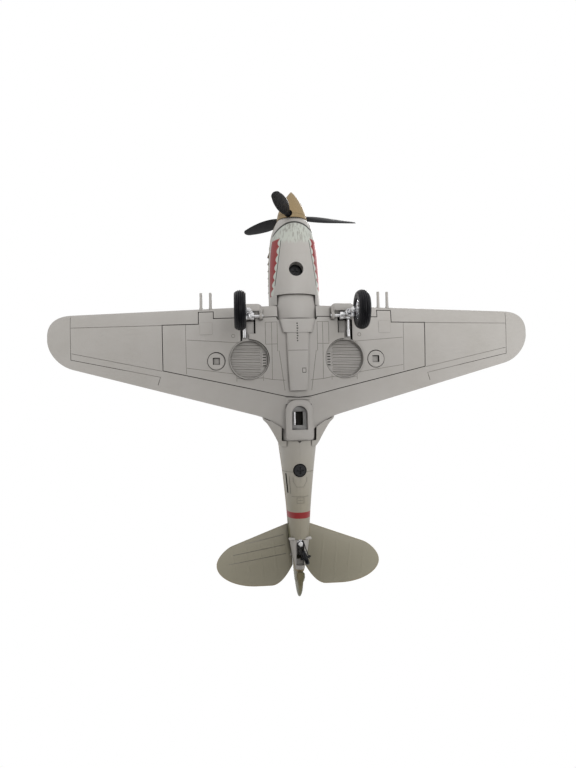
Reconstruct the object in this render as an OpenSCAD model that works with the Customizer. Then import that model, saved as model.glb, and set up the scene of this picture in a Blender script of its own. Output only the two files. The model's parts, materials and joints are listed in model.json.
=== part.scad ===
// Display model of a single-engined low-wing fighter, standing on its three wheels.
// The airframe is drawn level: +X port, +Y aft, +Z up, spinner tip at y = 0 and thrust line at z = 0.
// stand() then tips it tail-down onto its wheels, with z = 0 at the tyres.

/* [Wing] */
// Wing span, tip to tip
span = 236.8; // [215:0.2:285]
// Leading edge at the root, behind the spinner tip
wing_le = 59; // [57:0.5:60]
// Trailing edge where the root fillet ends
wing_te_root = 110.8; // [106:0.2:116]
// Trailing edge where the tip curve begins
wing_te_tip = 87.4; // [82:0.2:92]
// Length of the rounded tip
tip_len = 12.4; // [8:0.2:18]
// Height of the wing's middle at the centreline
wing_z = -12.6; // [-13:0.1:-12]
// Dihedral angle
dihedral = 5.6; // [4:0.1:7]
// Thickness over chord at the root
root_thick = 0.155; // [0.15:0.005:0.19]
// Thickness over chord at the tip
tip_thick = 0.1; // [0.08:0.005:0.13]

/* [Fuselage] */
// Length, spinner tip to rudder
length = 201.4; // [185:0.2:245]
// Half-width of the cowling
body_w = 12.4; // [11:0.1:14.5]
// Wall of the castings
wall = 1.5; // [1.2:0.1:1.9]
// Half-width of the flat sill under the canopy
sill_w = 7.8; // [7.4:0.1:8.2]
// Height of the sill
sill_z = 12.6; // [12:0.1:13]
// Height of the canopy above the sill
canopy_h = 8.8; // [8:0.1:10.5]
// How far the canopy slides back
canopy_travel = 15; // [8:0.5:15.5]
// Height of the fin tip
fin_z = 32.8; // [28:0.2:38]
// Chord of the rudder at its widest
rudder_chord = 14.6; // [12:0.2:16]

/* [Tailplane] */
// Span of the tailplane
tail_span = 81.6; // [70:0.2:98]
// Height of the tailplane
tail_z = 6; // [5:0.1:6.5]

/* [Propeller] */
// Propeller diameter
prop_d = 69.8; // [58:0.2:82]
// Spinner base diameter
spinner_d = 15; // [13:0.1:15.4]
// Spinner length
spinner_l = 15; // [14:0.1:15]
// Propeller shaft diameter
shaft_d = 2; // [1.6:0.1:2.6]

/* [Undercarriage] */
// Main tyre diameter
wheel_d = 17.2; // [15:0.1:17.6]
// Main tyre width
wheel_w = 5; // [4:0.1:5.2]
// Distance of each main leg from the centreline
leg_x = 22.6; // [22:0.1:23.2]
// Main leg length, hinge to axle
leg_l = 19.8; // [17:0.1:21]
// Distance of the wheel's middle outboard of the leg
wheel_off = 3.8; // [3.8:0.1:4.2]
// Tail tyre diameter
tail_wheel_d = 6.8; // [5.6:0.1:8]

/* [Fits] */
// Gap round a turning shaft
run_gap = 0.05; // [0.03:0.01:0.1]
// Gap between moving pieces
move_gap = 0.35; // [0.3:0.05:0.5]
// Gap between glued castings
seam = 0.15; // [0.05:0.05:0.25]

/* [Hidden] */

cast_grey = [0.67, 0.66, 0.62];
cast_tan = [0.53, 0.43, 0.24];
chrome = [0.8, 0.8, 0.82];
black = [0.05, 0.05, 0.055];
$fn = 48;

// ---- places shared by several pieces ----
nose_y = spinner_l + 0.5;
chin_y = [nose_y + 1, 54.5];
chin_z = -7;
flap_y = 66;
flap_w = 9;
flap_sink = 0.25;
belly_y = 123;
tongue_w = 7.9;
tail_post = length - rudder_chord;
tail_root_y = tail_post - 21.2;
rudder_low = -3.6;
rudder_mid = 8;
cockpit_y = [70, 96];
tub_w = 5.7;
tub_y = [77.1, 95.4];
tub_floor = -2.4;
tail_tab_h = 1.6;
windscreen_end = 79;
sill_gap = 0.4;
tip_x = span / 2 - tip_len;
root_x = 20;
hinge = [64.8, -16.2];
well_y = hinge[0] + leg_l;
well_r = wheel_d / 2 + move_gap;
well_wall = 0.35;
wheel_top_z = hinge[1] + wheel_off + wheel_w / 2;
well_floor_z = wheel_top_z + move_gap;
rib_h = 0.3;
axle_d = 1.8;
pin_d = 1.5;
jack_x = 38;
jack_y = 85;
jack_d = 8.3;
screw_front = [0, 42.9];
screw_rear = [0, 137];
hole_d = 6.7;
mouth_z = -7.3;
mouth_r = 1.4;
exhaust_y = [27.5, 51.5];
exhaust_lean = 74;
pad_y = [104, 122.4];
pad_w = 12.6;
pad_l = pad_y[1] - pad_y[0];
pad_top = -14.4;
pad_low = -17.4;
clip_y = 112.6;
clip_w = 12;
clip_l = 13;
clip_h = 1.4;
channel_z = -11.2;
gun_xs = [40.4, 44.9];
caster = [0, tail_post - 14.5];
caster_trail = 6.3;
caster_turn = -18;
tail_tip_y = tail_post - 2.3;
tail_wheel_z = -9.4;
bush_d = 3.4;
tail_fork_w = 3.4;
rail_x = 6.35;
screw_seat_z = -9.2;

// ---- curves through a few stations ----
function sgn_pow(v, p) = sign(v) * pow(abs(v), p);
function slope(k, i, c) = let (a = max(i - 1, 0), b = min(i + 1, len(k) - 1))
    (k[b][c] - k[a][c]) / (k[b][0] - k[a][0]);
function span_of(k, y, i = 0) = (i >= len(k) - 2 || y <= k[i + 1][0]) ? i : span_of(k, y, i + 1);
function along(k, y, c) = let (i = span_of(k, y), h = k[i + 1][0] - k[i][0], t = (y - k[i][0]) / h,
    t2 = t * t, t3 = t2 * t)
    (2 * t3 - 3 * t2 + 1) * k[i][c] + (t3 - 2 * t2 + t) * h * slope(k, i, c)
    + (3 * t2 - 2 * t3) * k[i + 1][c] + (t3 - t2) * h * slope(k, i + 1, c);

// One closed skin over rings of equal length
module loft(rings) {
    n = len(rings[0]);
    m = len(rings);
    polyhedron(points = [for (r = rings) each r],
        faces = [[for (j = [n - 1:-1:0]) j], [for (j = [0:n - 1]) (m - 1) * n + j],
            for (i = [0:m - 2]) for (j = [0:n - 1]) let (k = (j + 1) % n)
                each [[i * n + j, i * n + k, (i + 1) * n + k],
                    [i * n + j, (i + 1) * n + k, (i + 1) * n + j]]],
        convexity = 6);
}

// Cast skins are cut and joined as one faceted shell
module cast() resize([0, 0, 0]) children();

// A block reaching the same distance to both sides, and a pair of ends about a middle
module across(reach, ys, zs) translate([-reach, ys[0], zs[0]])
    cube([2 * reach, ys[1] - ys[0], zs[1] - zs[0]]);
function about(middle, ends) = [middle + ends[0], middle + ends[1]];

// Turns the level airframe onto its wheels
tail_wheel_y = caster[1] + caster_trail * cos(caster_turn);
main_wheel = [hinge[0] + 0.7, hinge[1] - leg_l];
wheelbase = [tail_wheel_y - main_wheel[0], tail_wheel_z - main_wheel[1]];
sit = asin((tail_wheel_d - wheel_d) / 2 / norm(wheelbase)) - atan2(wheelbase[1], wheelbase[0]);
drop = wheel_d / 2 - (main_wheel[0] * sin(sit) + main_wheel[1] * cos(sit));
tail_reach = max([for (z = [0:1:fin_z]) rudder_te(z) * cos(sit) - z * sin(sit)]);
module stand() translate([0, -tail_reach / 2, drop]) rotate([sit, 0, 0]) children();
module both(side) mirror([side < 0 ? 1 : 0, 0, 0]) children();

// ---- fuselage ----
// station, half-width, top, bottom, height of the widest line
function rear(f) = belly_y + f * (tail_post - belly_y);
body = [[nose_y, 7.4, 7.4, -7.4, 0], [nose_y + 3, 9, 8.4, -12.4, 0], [24, 10.8, 9.4, -14.6, -0.5],
    [33, body_w - 0.5, 10.5, -16.3, -1], [44, body_w, 11.4, -17.1, -1.5], [56, body_w, 12.1, -17.2, -2],
    [66, body_w - 0.1, 12.7, -16.8, -2], [75, body_w - 0.3, 14.8, -16.5, -2],
    [84, body_w - 0.6, 15.8, -16.3, -2],
    [100, body_w - 1.3, 15.8, -15.9, -1.5], [113, body_w - 2.2, 15.2, -15.3, -1],
    [belly_y, 9.4, 14, -14.2, -0.5],
    [rear(0.25), 7.5, 12.5, -12.2, 0], [rear(0.5), 6, 11, -9.4, 1], [rear(0.75), 4.8, 9.7, -6.3, 2],
    [tail_post, 2.3, 8.4, -2.4, 3]];
body_pow = 2 / 2.3;
function body_ring(y, cut = 0, n = 28) = let (w = along(body, y, 1) - cut, top = along(body, y, 2) - cut,
    low = along(body, y, 3) + cut, mid = along(body, y, 4))
    [for (i = [0:n - 1]) let (s = sin(360 * i / n)) [w * sgn_pow(cos(360 * i / n), body_pow), y,
        mid + (s > 0 ? top - mid : mid - low) * sgn_pow(s, body_pow)]];
body_ys = [for (i = [0:2]) nose_y + i * 1.5, 21, 24, 28, 33, 38, 44, 50, 56, 61, 66, 70, 75, 80, 87, 94, 101,
    107, 113, 118, belly_y, for (i = [1:9]) rear(i / 9)];
module body_solid(cut = 0, first = 0, last = 200) loft([for (i = [first:min(last, len(body_ys) - 1)])
    body_ring(body_ys[i], cut)]);

// The raised spine behind the cockpit
spine = [[cockpit_y[1] + 0.3, 6.9, 20.2], [113, 6.2, 18], [belly_y + 6, 5.2, 15.8], [rear(0.5), 3.4, 12.6],
    [rear(0.8), 2, 10.6]];
spine_z = 8;
function spine_ring(y, cut = 0) = let (w = along(spine, y, 1) - cut, h = along(spine, y, 2) - spine_z - cut)
    [for (i = [0:19]) [w * cos(18 * i), y, spine_z + h * sin(18 * i)]];
spine_ys = [spine[0][0], 102, 108, 113, 120, 129, rear(0.3), rear(0.5), rear(0.65), rear(0.8)];
module spine_solid(cut = 0) loft([for (y = spine_ys) spine_ring(y, cut)]);
module quarter_window(grow = 0) rotate([90, 0, 90]) linear_extrude(30, center = true) offset(delta = grow)
    polygon([[98, 14.6], [111.5, 15], [107, 17.4], [98, 18.6]]);

// Fin: leading edge height by height, closed at the hinge line
fin_root_z = 8;
function fin_slope(z) = tail_post - 25 + (z - fin_root_z) * 0.9;
function fin_le(z) = let (u = max(0, (z - 26) / (fin_z - 26)))
    fin_slope(z) + (tail_post - 1 - fin_slope(z)) * (1 - sqrt(1 - u * u));
function fin_half(z) = 1.9 - 1.2 * (z - fin_root_z) / (fin_z - fin_root_z);
module fin_solid() loft([for (z = [fin_root_z, 12, 16, 20, 24, 27, 29, 30.5, 31.7, fin_z - 0.4])
    let (a = fin_le(z), b = tail_post - 0.3)
    [for (i = [0:11]) [fin_half(z) * sin(30 * i), a + (b - a) * (1 + cos(30 * i)) / 2, z]]]);

// Wing root fillet: station, reach from the centreline, height of its sharp edge, height at the body side
fillet_ahead = 20;
fillet = [[wing_te_root - fillet_ahead, 13.4, -9.4, -7.2], [wing_te_root - 8, 15.4, -10.2, -6.4],
    [wing_te_root + 1.5, 16.9, -11, -5.6], [wing_te_root + 4, 14.8, -10.8, -5.4],
    [wing_te_root + 7, 12.9, -10.4, -5.4], [wing_te_root + 10.2, 11.1, -9.8, -5.6],
    [wing_te_root + 13, 9.7, -9, -6], [wing_te_root + 15, 8.4, -8.4, -6.4]];
fillet_edge = 0.35;
fillet_in = 6;
function fillet_ring(k) = let (w = k[1] - fillet_in, dip = k[3] - k[2])
    [[fillet_in, k[0], k[2] - 3.4], [k[1], k[0], k[2] - fillet_edge], [k[1], k[0], k[2] + fillet_edge],
        for (t = [0.25, 0.5, 0.75]) [k[1] - w * t, k[0], k[2] + fillet_edge + dip * t * t * 0.9],
        [fillet_in, k[0], k[3] + 0.4]];
module root_fillets() for (m = [0, 1]) mirror([m, 0, 0]) loft([for (k = fillet) fillet_ring(k)]);

// Rudder: trailing edge height by height
function rudder_te(z) = tail_post + rudder_chord * (z > rudder_mid
    ? pow(max(0, 1 - pow((z - rudder_mid) / (fin_z - rudder_mid), 2.3)), 1 / 2.3)
    : sqrt(max(0, 1 - pow((rudder_mid - z) / (rudder_mid - rudder_low), 2))));
rudder_zs = [rudder_low + 0.15, -3, -1.5, 1, 4, 8, 13, 18, 22, 25.5, 28.5, 30.5, 31.8, fin_z - 0.4];
module rudder_solid() loft([for (z = rudder_zs) let (b = rudder_te(z))
    [for (i = [0:11]) [max(0.5, min(2, fin_half(z) + 0.1)) * sin(30 * i) * (i < 4 || i > 8 ? 0.7 : 1),
        tail_post + (b - tail_post) * (1 + cos(30 * i)) / 2, z]]]);

// ---- wing ----
function wing_front(x) = wing_le + 0.0225 * x;
function wing_back(x) = wing_te_root + (wing_te_tip - wing_te_root) * (x - root_x) / (tip_x - root_x)
    + (x < root_x ? 8 * pow((root_x - x) / root_x, 2) : 0);
tip_y = wing_le + 12.9;
function tip_share(x) = max(0, (x - tip_x) / tip_len);
function le(x) = tip_y - (tip_y - wing_front(x)) * pow(1 - pow(tip_share(x), 2.5), 0.4);
function te(x) = tip_y + (wing_back(x) - tip_y) * pow(1 - pow(tip_share(x), 2.2), 1 / 2.2);
function wing_mid(x) = wing_z + x * tan(dihedral);
function foil(s) = 5 * (0.2969 * sqrt(s) - 0.126 * s - 0.3516 * pow(s, 2) + 0.2843 * pow(s, 3)
    - 0.1036 * pow(s, 4));
function wing_ring(x, low, high, n = 24) = let (a = abs(x), f = le(a), c = te(a) - f,
    thick = root_thick + (tip_thick - root_thick) * a / (span / 2))
    [for (i = [0:n - 1]) let (s = (1 + cos(360 * i / n)) / 2, up = sin(360 * i / n))
        [x, f + c * s, wing_mid(a) + 0.072 * c * s * (1 - s) + sign(up) * (foil(s) * c * thick + 0.2 * s)
            + (abs(up) < 0.01 ? 0 : up > 0 ? high : low)]];
half_xs = [for (u = [0.993, 0.95, 0.87, 0.75, 0.55, 0.3, 0]) tip_x + u * tip_len, tip_x * 0.8, 64, 46, 30,
    root_x, 15, 11, 6];
wing_xs = [each half_xs, 0, for (i = [len(half_xs) - 1:-1:0]) -half_xs[i]];
module wing_solid(low = 0, high = 0) loft([for (x = wing_xs) wing_ring(x, low, high)]);

// Outline of the inset lower panel, port half then mirrored
panel_x = 63.4;
panel_half = [[0, flap_y], [flap_w, flap_y], [flap_w + 0.4, 64.7], [38.9, 64.7], [38.9, 61.4], [46.3, 61.4],
    [46.3, 67.2], [panel_x, 67.2], [panel_x, 89], [20, 99], [6, 102.4], [0, 103]];
module panel_outline(shrink = 0) offset(delta = -shrink)
    for (m = [0, 1]) mirror([m, 0]) polygon(panel_half);
module prism(low = -30, high = 10) translate([0, 0, low]) linear_extrude(high - low) children();
module channel_outline(grow = 0) {
    translate([leg_x - 2.4 - grow, 61.6 - grow]) square([5.6 + 2 * grow, 10.2 + 2 * grow]);
    translate([leg_x + 0.6 - grow, 68]) square([2.6 + 2 * grow, 7.6 + grow]);
}

// ---- canopy ----
canopy_w = sill_w - 0.2;
canopy_top = sill_z + canopy_h;
glass = 0.9;
function hood_ring(y, w, top, cut) = [for (i = [0:23]) let (s = sin(15 * i))
    [(w - cut) * sgn_pow(cos(15 * i), 0.9), y, sill_z + (top - sill_z - cut) * sgn_pow(s, 0.9)]];
module hood(stations, cut = 0) difference() {
    loft([for (k = stations) hood_ring(k[0], k[1], k[2], cut)]);
    translate([-20, 0, sill_z + 0.1 - (cut > 0 ? 1 : 0) - 50]) cube([40, 200, 50]);
}

// ================= sub-parts =================
// The whole cast body before it is split into halves
module fuselage_shell() difference() {
    union() {
        body_solid();
        spine_solid();
        fin_solid();
        root_fillets();
    }
    difference() {
        body_solid(wall, 1, len(body_ys) - 3);
        translate([0, screw_rear[1], -15]) cylinder(d = 7.4, h = 11, $fn = 24);
        translate([0, screw_front[1], -16]) cylinder(d = 7, h = 28, $fn = 24);
        translate([0, tail_post - 6, 0]) cube([20, 16, 3], center = true);
    }
    intersection() {
        spine_solid(1.4);
        translate([0, 106, 11]) cube([20, 19, 20], center = true);
    }
    wing_solid(-14, seam);
    across(30, [chin_y[0] - seam, chin_y[1] + seam], [-44, chin_z]);
    across(flap_w + seam, [chin_y[1], flap_y + seam], [-44, chin_z]);
    across(tongue_w + seam, [flap_y - seam, belly_y + seam], [-30, -10]);
    across(sill_w, cockpit_y, [sill_z, sill_z + 30]);
    across(tub_w + 0.2, tub_y + [-0.2, 0.2], [-3, 17]);
    quarter_window(seam);
    across(15, about(tail_post, [-16 - seam, seam - 6]), about(tail_z, [-1, 1] * (tail_tab_h / 2 + seam)));
    prism(-12, -1) tail_plate_outline(seam);
    translate([0, nose_y + 3, 0]) rotate([90, 0, 0]) cylinder(d = 6.2, h = 12, center = true, $fn = 32);
    for (m = [0, 1]) mirror([m, 0, 0]) {
        exhaust_recess(seam);
        translate([rail_x, cockpit_y[1] - 1, sill_z]) cube([sill_w - rail_x, canopy_travel + 2.5, 10]);
    }
    translate([caster[0], caster[1], -8]) cylinder(d = bush_d + 2 * seam, h = 8, $fn = 32);
    translate([0, screw_rear[1], -20]) cylinder(d = 2.5, h = 15, $fn = 24);
    translate([0, screw_rear[1], -20]) cylinder(d = 6, h = 8.6, $fn = 24);
    translate([0, screw_front[1], -20]) cylinder(d = 2.5, h = 20, $fn = 24);
}
module tail_plate_outline(grow = 0) offset(delta = grow)
    polygon([[-5, tail_post - 16], [-2.4, tail_post - 1.2], [2.4, tail_post - 1.2], [5, tail_post - 16]]);
module exhaust_recess(grow = 0) translate([body_w - 2.2 - grow, exhaust_y[0] - grow, 0.2 - grow])
    cube([6, exhaust_y[1] - exhaust_y[0] + 2 * grow, 4 + 2 * grow]);
module half_fuselage(side) color(cast_tan) cast() intersection() {
    fuselage_shell();
    translate([side > 0 ? 0.02 : -60.02, -10, -60]) cube([60, 260, 120]);
}
module fuselage_left() half_fuselage(1);
module fuselage_right() half_fuselage(-1);

// Lower cowl with the intake mouth and the screw pillar
module chin_cowl() color(cast_grey) cast() difference() {
    intersection() {
        body_solid(0, 0, 12);
        across(30, chin_y, [chin_z - 40, chin_z]);
    }
    difference() {
        body_solid(wall, 0, 12);
        across(30, about(chin_y[0], [-wall, wall]), [-30, 30]);
        translate([screw_front[0], screw_front[1], -22]) cylinder(d = hole_d + 4, h = 22, $fn = 40);
    }
    translate([0, chin_y[0], mouth_z]) hull() for (x = [-2.4, 2.4]) translate([x, 0, 0])
        rotate([90, 0, 0]) cylinder(r = mouth_r, h = 12, center = true, $fn = 24);
    translate([screw_front[0], screw_front[1], -30]) {
        cylinder(d = hole_d + 0.1, h = 30 + screw_seat_z, $fn = 40);
        cylinder(d = 2.6, h = 40, $fn = 24);
    }
    translate([screw_front[0], screw_front[1], -16.2])
        cylinder(d = hole_d + 1.6 + 2 * seam, h = 5.2, $fn = 40);
}
module nose_bush() color(cast_grey) translate([screw_front[0], screw_front[1], -16.1]) difference() {
    cylinder(d = hole_d + 1.6, h = 5);
    translate([0, 0, -1]) cylinder(d = hole_d, h = 7);
}
// Cross-headed screw, head down
module screw(head_d, shank_l) {
    difference() {
        cylinder(d = head_d, h = 1.6);
        for (a = [0, 90]) rotate([0, 0, a]) across(head_d * 0.3, [-0.35, 0.35], [-1, 1]);
    }
    translate([0, 0, 1.6]) cylinder(d = 2.2, h = shank_l);
}
module front_screw() color(black)
    translate([screw_front[0], screw_front[1], screw_seat_z - 1.65]) screw(5, 8);
module rear_screw() color(black) translate([0, screw_rear[1], -11.4 - 1.7]) screw(5.4, 6);
module radiator_core() color(black) difference() {
    across(4.4, about(chin_y[0], [5, 7]), [-11.5, -7.4]);
    for (x = [-3.6:0.9:3.6]) translate([x - 0.25, chin_y[0] + 4, -11.1]) cube([0.5, 1.8, 3.3]);
}
// Cooling flap behind the chin
module radiator_flap() color(cast_grey) cast() difference() {
    intersection() {
        body_solid(flap_sink, 4, 18);
        across(flap_w - seam, [chin_y[1] + seam, flap_y - seam], [-29, -11]);
    }
    body_solid(flap_sink + wall, 4, 18);
}

// Main wing casting, pocketed underneath for the lower panel
module wing_upper() color(cast_tan) cast() difference() {
    union() {
        wing_solid();
        intersection() {
            body_solid();
            across(tongue_w, [103, belly_y], [-22, -10]);
        }
    }
    intersection() {
        prism() panel_outline();
        wing_solid(-14, -1.3);
    }
    across(flap_w + seam, [50, flap_y + seam], [-32, 8]);
    for (m = [0, 1]) mirror([m, 0, 0]) {
        prism(-30, channel_z) channel_outline(0.75);
        gear_block(seam);
        for (x = gun_xs) translate([x, 61.35, wing_mid(x)]) rotate([90, 0, 0])
            cylinder(d = 2.1, h = 5, $fn = 24);
    }
    across(pad_w / 2 + seam, pad_y + [-seam, seam], [-24, pad_top]);
    across(clip_w / 2 + seam, about(clip_y, [-1, 1] * (clip_l / 2 + seam)),
        about(pad_top, [-1, clip_h + 2 * seam]));
    across(2.2, about(clip_y, [-3.4, 3.4]), about(pad_top, [0, 4]));
}
// Inset lower panel with the belly fairing and keel
module wing_lower() color(cast_grey) cast() difference() {
    union() {
        difference() {
            intersection() {
                prism() panel_outline(seam);
                wing_solid();
            }
            wing_solid(1.6, 14);
        }
        prism(-17.5, -15.4) polygon([[-8.3, 66.3], [8.3, 66.3], [6.7, 72.6], [-6.7, 72.6]]);
        prism(-17.3, -15.4) polygon([[-5.4, 72.6], [5.4, 72.6], [4.1, 99.6], [-4.1, 99.6]]);
    }
    for (m = [0, 1]) mirror([m, 0, 0]) {
        translate([leg_x, well_y, -30]) cylinder(r = well_r + well_wall + seam, h = 40, $fn = 64);
        prism(-30, 0) channel_outline(0.75);
        gear_block(seam);
        translate([jack_x, jack_y, -30]) cylinder(d = jack_d + 2 * seam, h = 40, $fn = 40);
    }
}
// Ribbed cup for the folded wheel, with a tray for the leg
module wheel_well(side) color(cast_grey) both(side) {
    translate([leg_x, well_y, 0]) {
        difference() {
            union() {
                translate([0, 0, -12.9]) cylinder(r = well_r + well_wall, h = well_floor_z + 13.6);
                translate([-2.4, 66.6 - well_y, channel_z - 0.4]) cube([5.6, 12, 0.6]);
            }
            translate([0, 0, -20]) cylinder(r = well_r, h = well_floor_z + rib_h + 20);
            translate([-3, -20, -20]) cube([6.6, 20, 20 + channel_z - 0.4]);
        }
        for (i = [-4.5:1:4.5]) intersection() {
            translate([-10, 1.75 * i - 0.25, well_floor_z]) cube([20, 0.5, rib_h + 0.2]);
            cylinder(r = well_r + 0.1, h = 60, center = true);
        }
    }
}
module wheel_well_left() wheel_well(1);
module wheel_well_right() wheel_well(-1);
module jack_socket(side) color(cast_grey) both(side)
    translate([jack_x, jack_y, wing_mid(jack_x) - 3.4]) difference() {
        cylinder(d = jack_d, h = 2.4);
        across(1.65, [-1.65, 1.65], [-1, 2]);
    }
module jack_socket_left() jack_socket(1);
module jack_socket_right() jack_socket(-1);
module gun_barrels(side) color(cast_grey) both(side) for (x = gun_xs)
    translate([x, 61.2, wing_mid(x)]) rotate([90, 0, 0]) {
        cylinder(d1 = 1.7, d2 = 1.2, h = 7.4, $fn = 24);
        translate([0, 0, 7.4]) difference() {
            cylinder(d = 1.2, h = 1.5, $fn = 24);
            translate([0, 0, 0.7]) cylinder(d = 0.6, h = 2, $fn = 24);
        }
    }
module gun_barrels_left() gun_barrels(1);
module gun_barrels_right() gun_barrels(-1);

// Knuckle over the leg hinge
module gear_block(grow = 0) {
    translate([16.2 - grow, 60.6 - grow, -16.4]) cube([1.4 + 2 * grow, 5.6 + 2 * grow, 6]);
    translate([25.2 - grow, 60.6 - grow, -16.4]) cube([1.3 + 2 * grow, 5.6 + 2 * grow, 6]);
    hull() for (x = [18.6, 25]) translate([x, 61.4, -14.6]) sphere(r = 2.6 + grow, $fn = 24);
}
module gear_fairing(side) color(cast_grey) cast() both(side) difference() {
    union() {
        gear_block();
        for (x = [16.2, 25.2]) translate([x, hinge[0], hinge[1]]) rotate([0, 90, 0])
            cylinder(r = 1.5, h = 1.35, $fn = 24);
    }
    translate([10, hinge[0], hinge[1]]) rotate([0, 90, 0]) cylinder(d = pin_d + 0.02, h = 20, $fn = 32);
    translate([17.7, hinge[0], hinge[1]]) rotate([0, 90, 0]) cylinder(r = 2.4, h = 7.2, $fn = 32);
}
module gear_fairing_left() gear_fairing(1);
module gear_fairing_right() gear_fairing(-1);
module hinge_pin(side) color(chrome) both(side) translate([15.8, hinge[0], hinge[1]]) rotate([0, 90, 0])
    cylinder(d = pin_d, h = 11);
module hinge_pin_left() hinge_pin(1);
module hinge_pin_right() hinge_pin(-1);
module retraction_rod(side) color(chrome) both(side)
    translate([leg_x + 1.9, 74.4, -12.7]) rotate([91, 0, 0]) {
        cylinder(d = 1.4, h = 8);
        cylinder(d = 1.9, h = 3.4);
    }
module retraction_rod_left() retraction_rod(1);
module retraction_rod_right() retraction_rod(-1);

// Raised pad with an arched opening, and the slotted clip behind it
module stand_pad() color(cast_grey) difference() {
    translate([0, pad_y[0], pad_low]) linear_extrude(pad_top - pad_low) difference() {
        union() {
            translate([-pad_w / 2, 5]) square([pad_w, pad_l - 6.5]);
            translate([1.5 - pad_w / 2, pad_l - 3]) square([pad_w - 3, 3]);
            for (x = [-1, 1]) {
                translate([x * (pad_w / 2 - 1.5), pad_l - 1.5]) circle(r = 1.5);
                translate([x * (pad_w / 2 - 5), 5]) circle(r = 5);
            }
            translate([5 - pad_w / 2, 0]) square([pad_w - 10, 6]);
        }
        translate([-3.6, 6.4]) square([7.2, 7.4]);
        translate([0, 6.4]) circle(r = 3.6);
    }
}
module stand_clip() color(chrome) difference() {
    across(clip_w / 2, about(clip_y, [-1, 1] * clip_l / 2), about(pad_top, [0, clip_h]));
    across(1.6, about(clip_y, [-3.1, 3.1]), about(pad_top, [-1, 3]));
}

function tail_le(x) = let (u = max(0, (x - tail_span / 2 + 8) / 8)) tail_tip_y
    - (tail_tip_y - (tail_root_y + 0.371 * (x - 7))) * sqrt(max(0, 1 - u * u));
function tail_back(x) = let (u = max(0, (x - tail_span / 2 + 20) / 20))
    min(tail_post + 0.4 + 1.66 * (x - 4),
        tail_tip_y + (tail_post + 8.6 - tail_tip_y) * sqrt(max(0, 1 - u * u)));
// Tailplane, and the tab that locks it into the body
module tail_skin(side) color(cast_grey) cast() both(side) difference() {
    loft([for (x = [for (d = [0.25, 0.9, 2, 3.6, 6, 10, 15]) tail_span / 2 - d, 20, 13, 8.8, 6, 3])
        let (a = tail_le(x), c = tail_back(x) - a)
        [for (i = [0:15]) let (s = (1 + cos(22.5 * i)) / 2) [x, a + c * s,
            tail_z + sign(sin(22.5 * i)) * (foil(s) * c * 0.09 + 0.2 * s)]]]);
    body_solid(-0.05, 22);
    across(2.6, about(tail_post, [-1, 29]), [-10, 30]);
}
module tail_tab(side) color(cast_grey) both(side) translate([0.2, tail_post - 16, tail_z - tail_tab_h / 2])
    cube([4.2, 10, tail_tab_h]);
module tailplane(side) {
    tail_skin(side);
    tail_tab(side);
}
module tailplane_left() tailplane(1);
module tailplane_right() tailplane(-1);
module rudder() color(cast_tan) cast() difference() {
    rudder_solid();
    body_solid(-0.05, 30);
}
module tail_wheel_plate() color(cast_grey) cast() difference() {
    intersection() {
        body_solid(0, 20);
        prism(-12, -1) tail_plate_outline();
    }
    body_solid(1.2, 18, len(body_ys) - 2);
    across(1.9, about(tail_post, [-15.6, -3.2]), [-20, 10]);
    translate([caster[0], caster[1], -8]) cylinder(d = bush_d + 2 * seam, h = 8, $fn = 32);
}
module tail_wheel_bush() color(chrome) translate([caster[0], caster[1], -5.6]) difference() {
    cylinder(d = bush_d, h = 4.4);
    translate([0, 0, -1]) cylinder(d = 1.9, h = 7);
}

hood_keys = [[windscreen_end + 0.3, canopy_w, canopy_top],
    [cockpit_y[1] - 0.4, canopy_w, canopy_top + 0.2]];
module windscreen() color([0.7, 0.8, 0.85, 0.5]) cast() difference() {
    hood([[70.6, 4, sill_z + 0.8], [74.5, 6.3, sill_z + 4.8],
        [windscreen_end, canopy_w - 0.1, canopy_top - 0.4]]);
    hood([[71.5, 3.8, sill_z + 0.9], [74.6, 6.2, sill_z + 4.8],
        [windscreen_end + 0.1, canopy_w - 0.1, canopy_top - 0.4]], glass);
}
module canopy() color([0.7, 0.8, 0.85, 0.5]) cast() translate([0, 0, sill_gap]) difference() {
    hood(hood_keys);
    translate([0, -1, 0]) hood([hood_keys[0], [cockpit_y[1] + 3, canopy_w, canopy_top + 0.2]], glass);
}
module rear_glass() color([0.7, 0.8, 0.85, 0.5]) cast() difference() {
    intersection() {
        spine_solid(0.1);
        quarter_window();
    }
    spine_solid(1.3);
}
// Cockpit
module cockpit_tub() color([0.25, 0.3, 0.22]) difference() {
    across(tub_w, tub_y, [tub_floor, 12.2]);
    across(tub_w - 0.8, tub_y + [0.8, -0.8], [tub_floor + 0.8, 18.4]);
}
module seat() color([0.2, 0.2, 0.2]) {
    across(3, [87.4, 93.4], [tub_floor + 0.8, 1]);
    across(3, [92, 93.4], [1, 10]);
}
module instrument_panel() color(black) difference() {
    across(4.8, [78, 79], [4, 12]);
    for (x = [-3.2, 0, 3.2], z = [6, 9.4]) translate([x, 80, z]) rotate([90, 0, 0])
        cylinder(d = 2.4, h = 1.4, $fn = 24);
}
module control_stick() color(black) translate([0, 81.5, -1.6]) {
    cylinder(d = 1, h = 4.6, $fn = 24);
    translate([0, 0, 4.6]) sphere(d = 1.6, $fn = 24);
}
module gunsight() color(black) {
    across(0.6, [77.4, 79], [sill_z, sill_z + 2]);
    translate([0, 78.2, sill_z + 2]) cylinder(d = 1.6, h = 1, $fn = 24);
}
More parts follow.
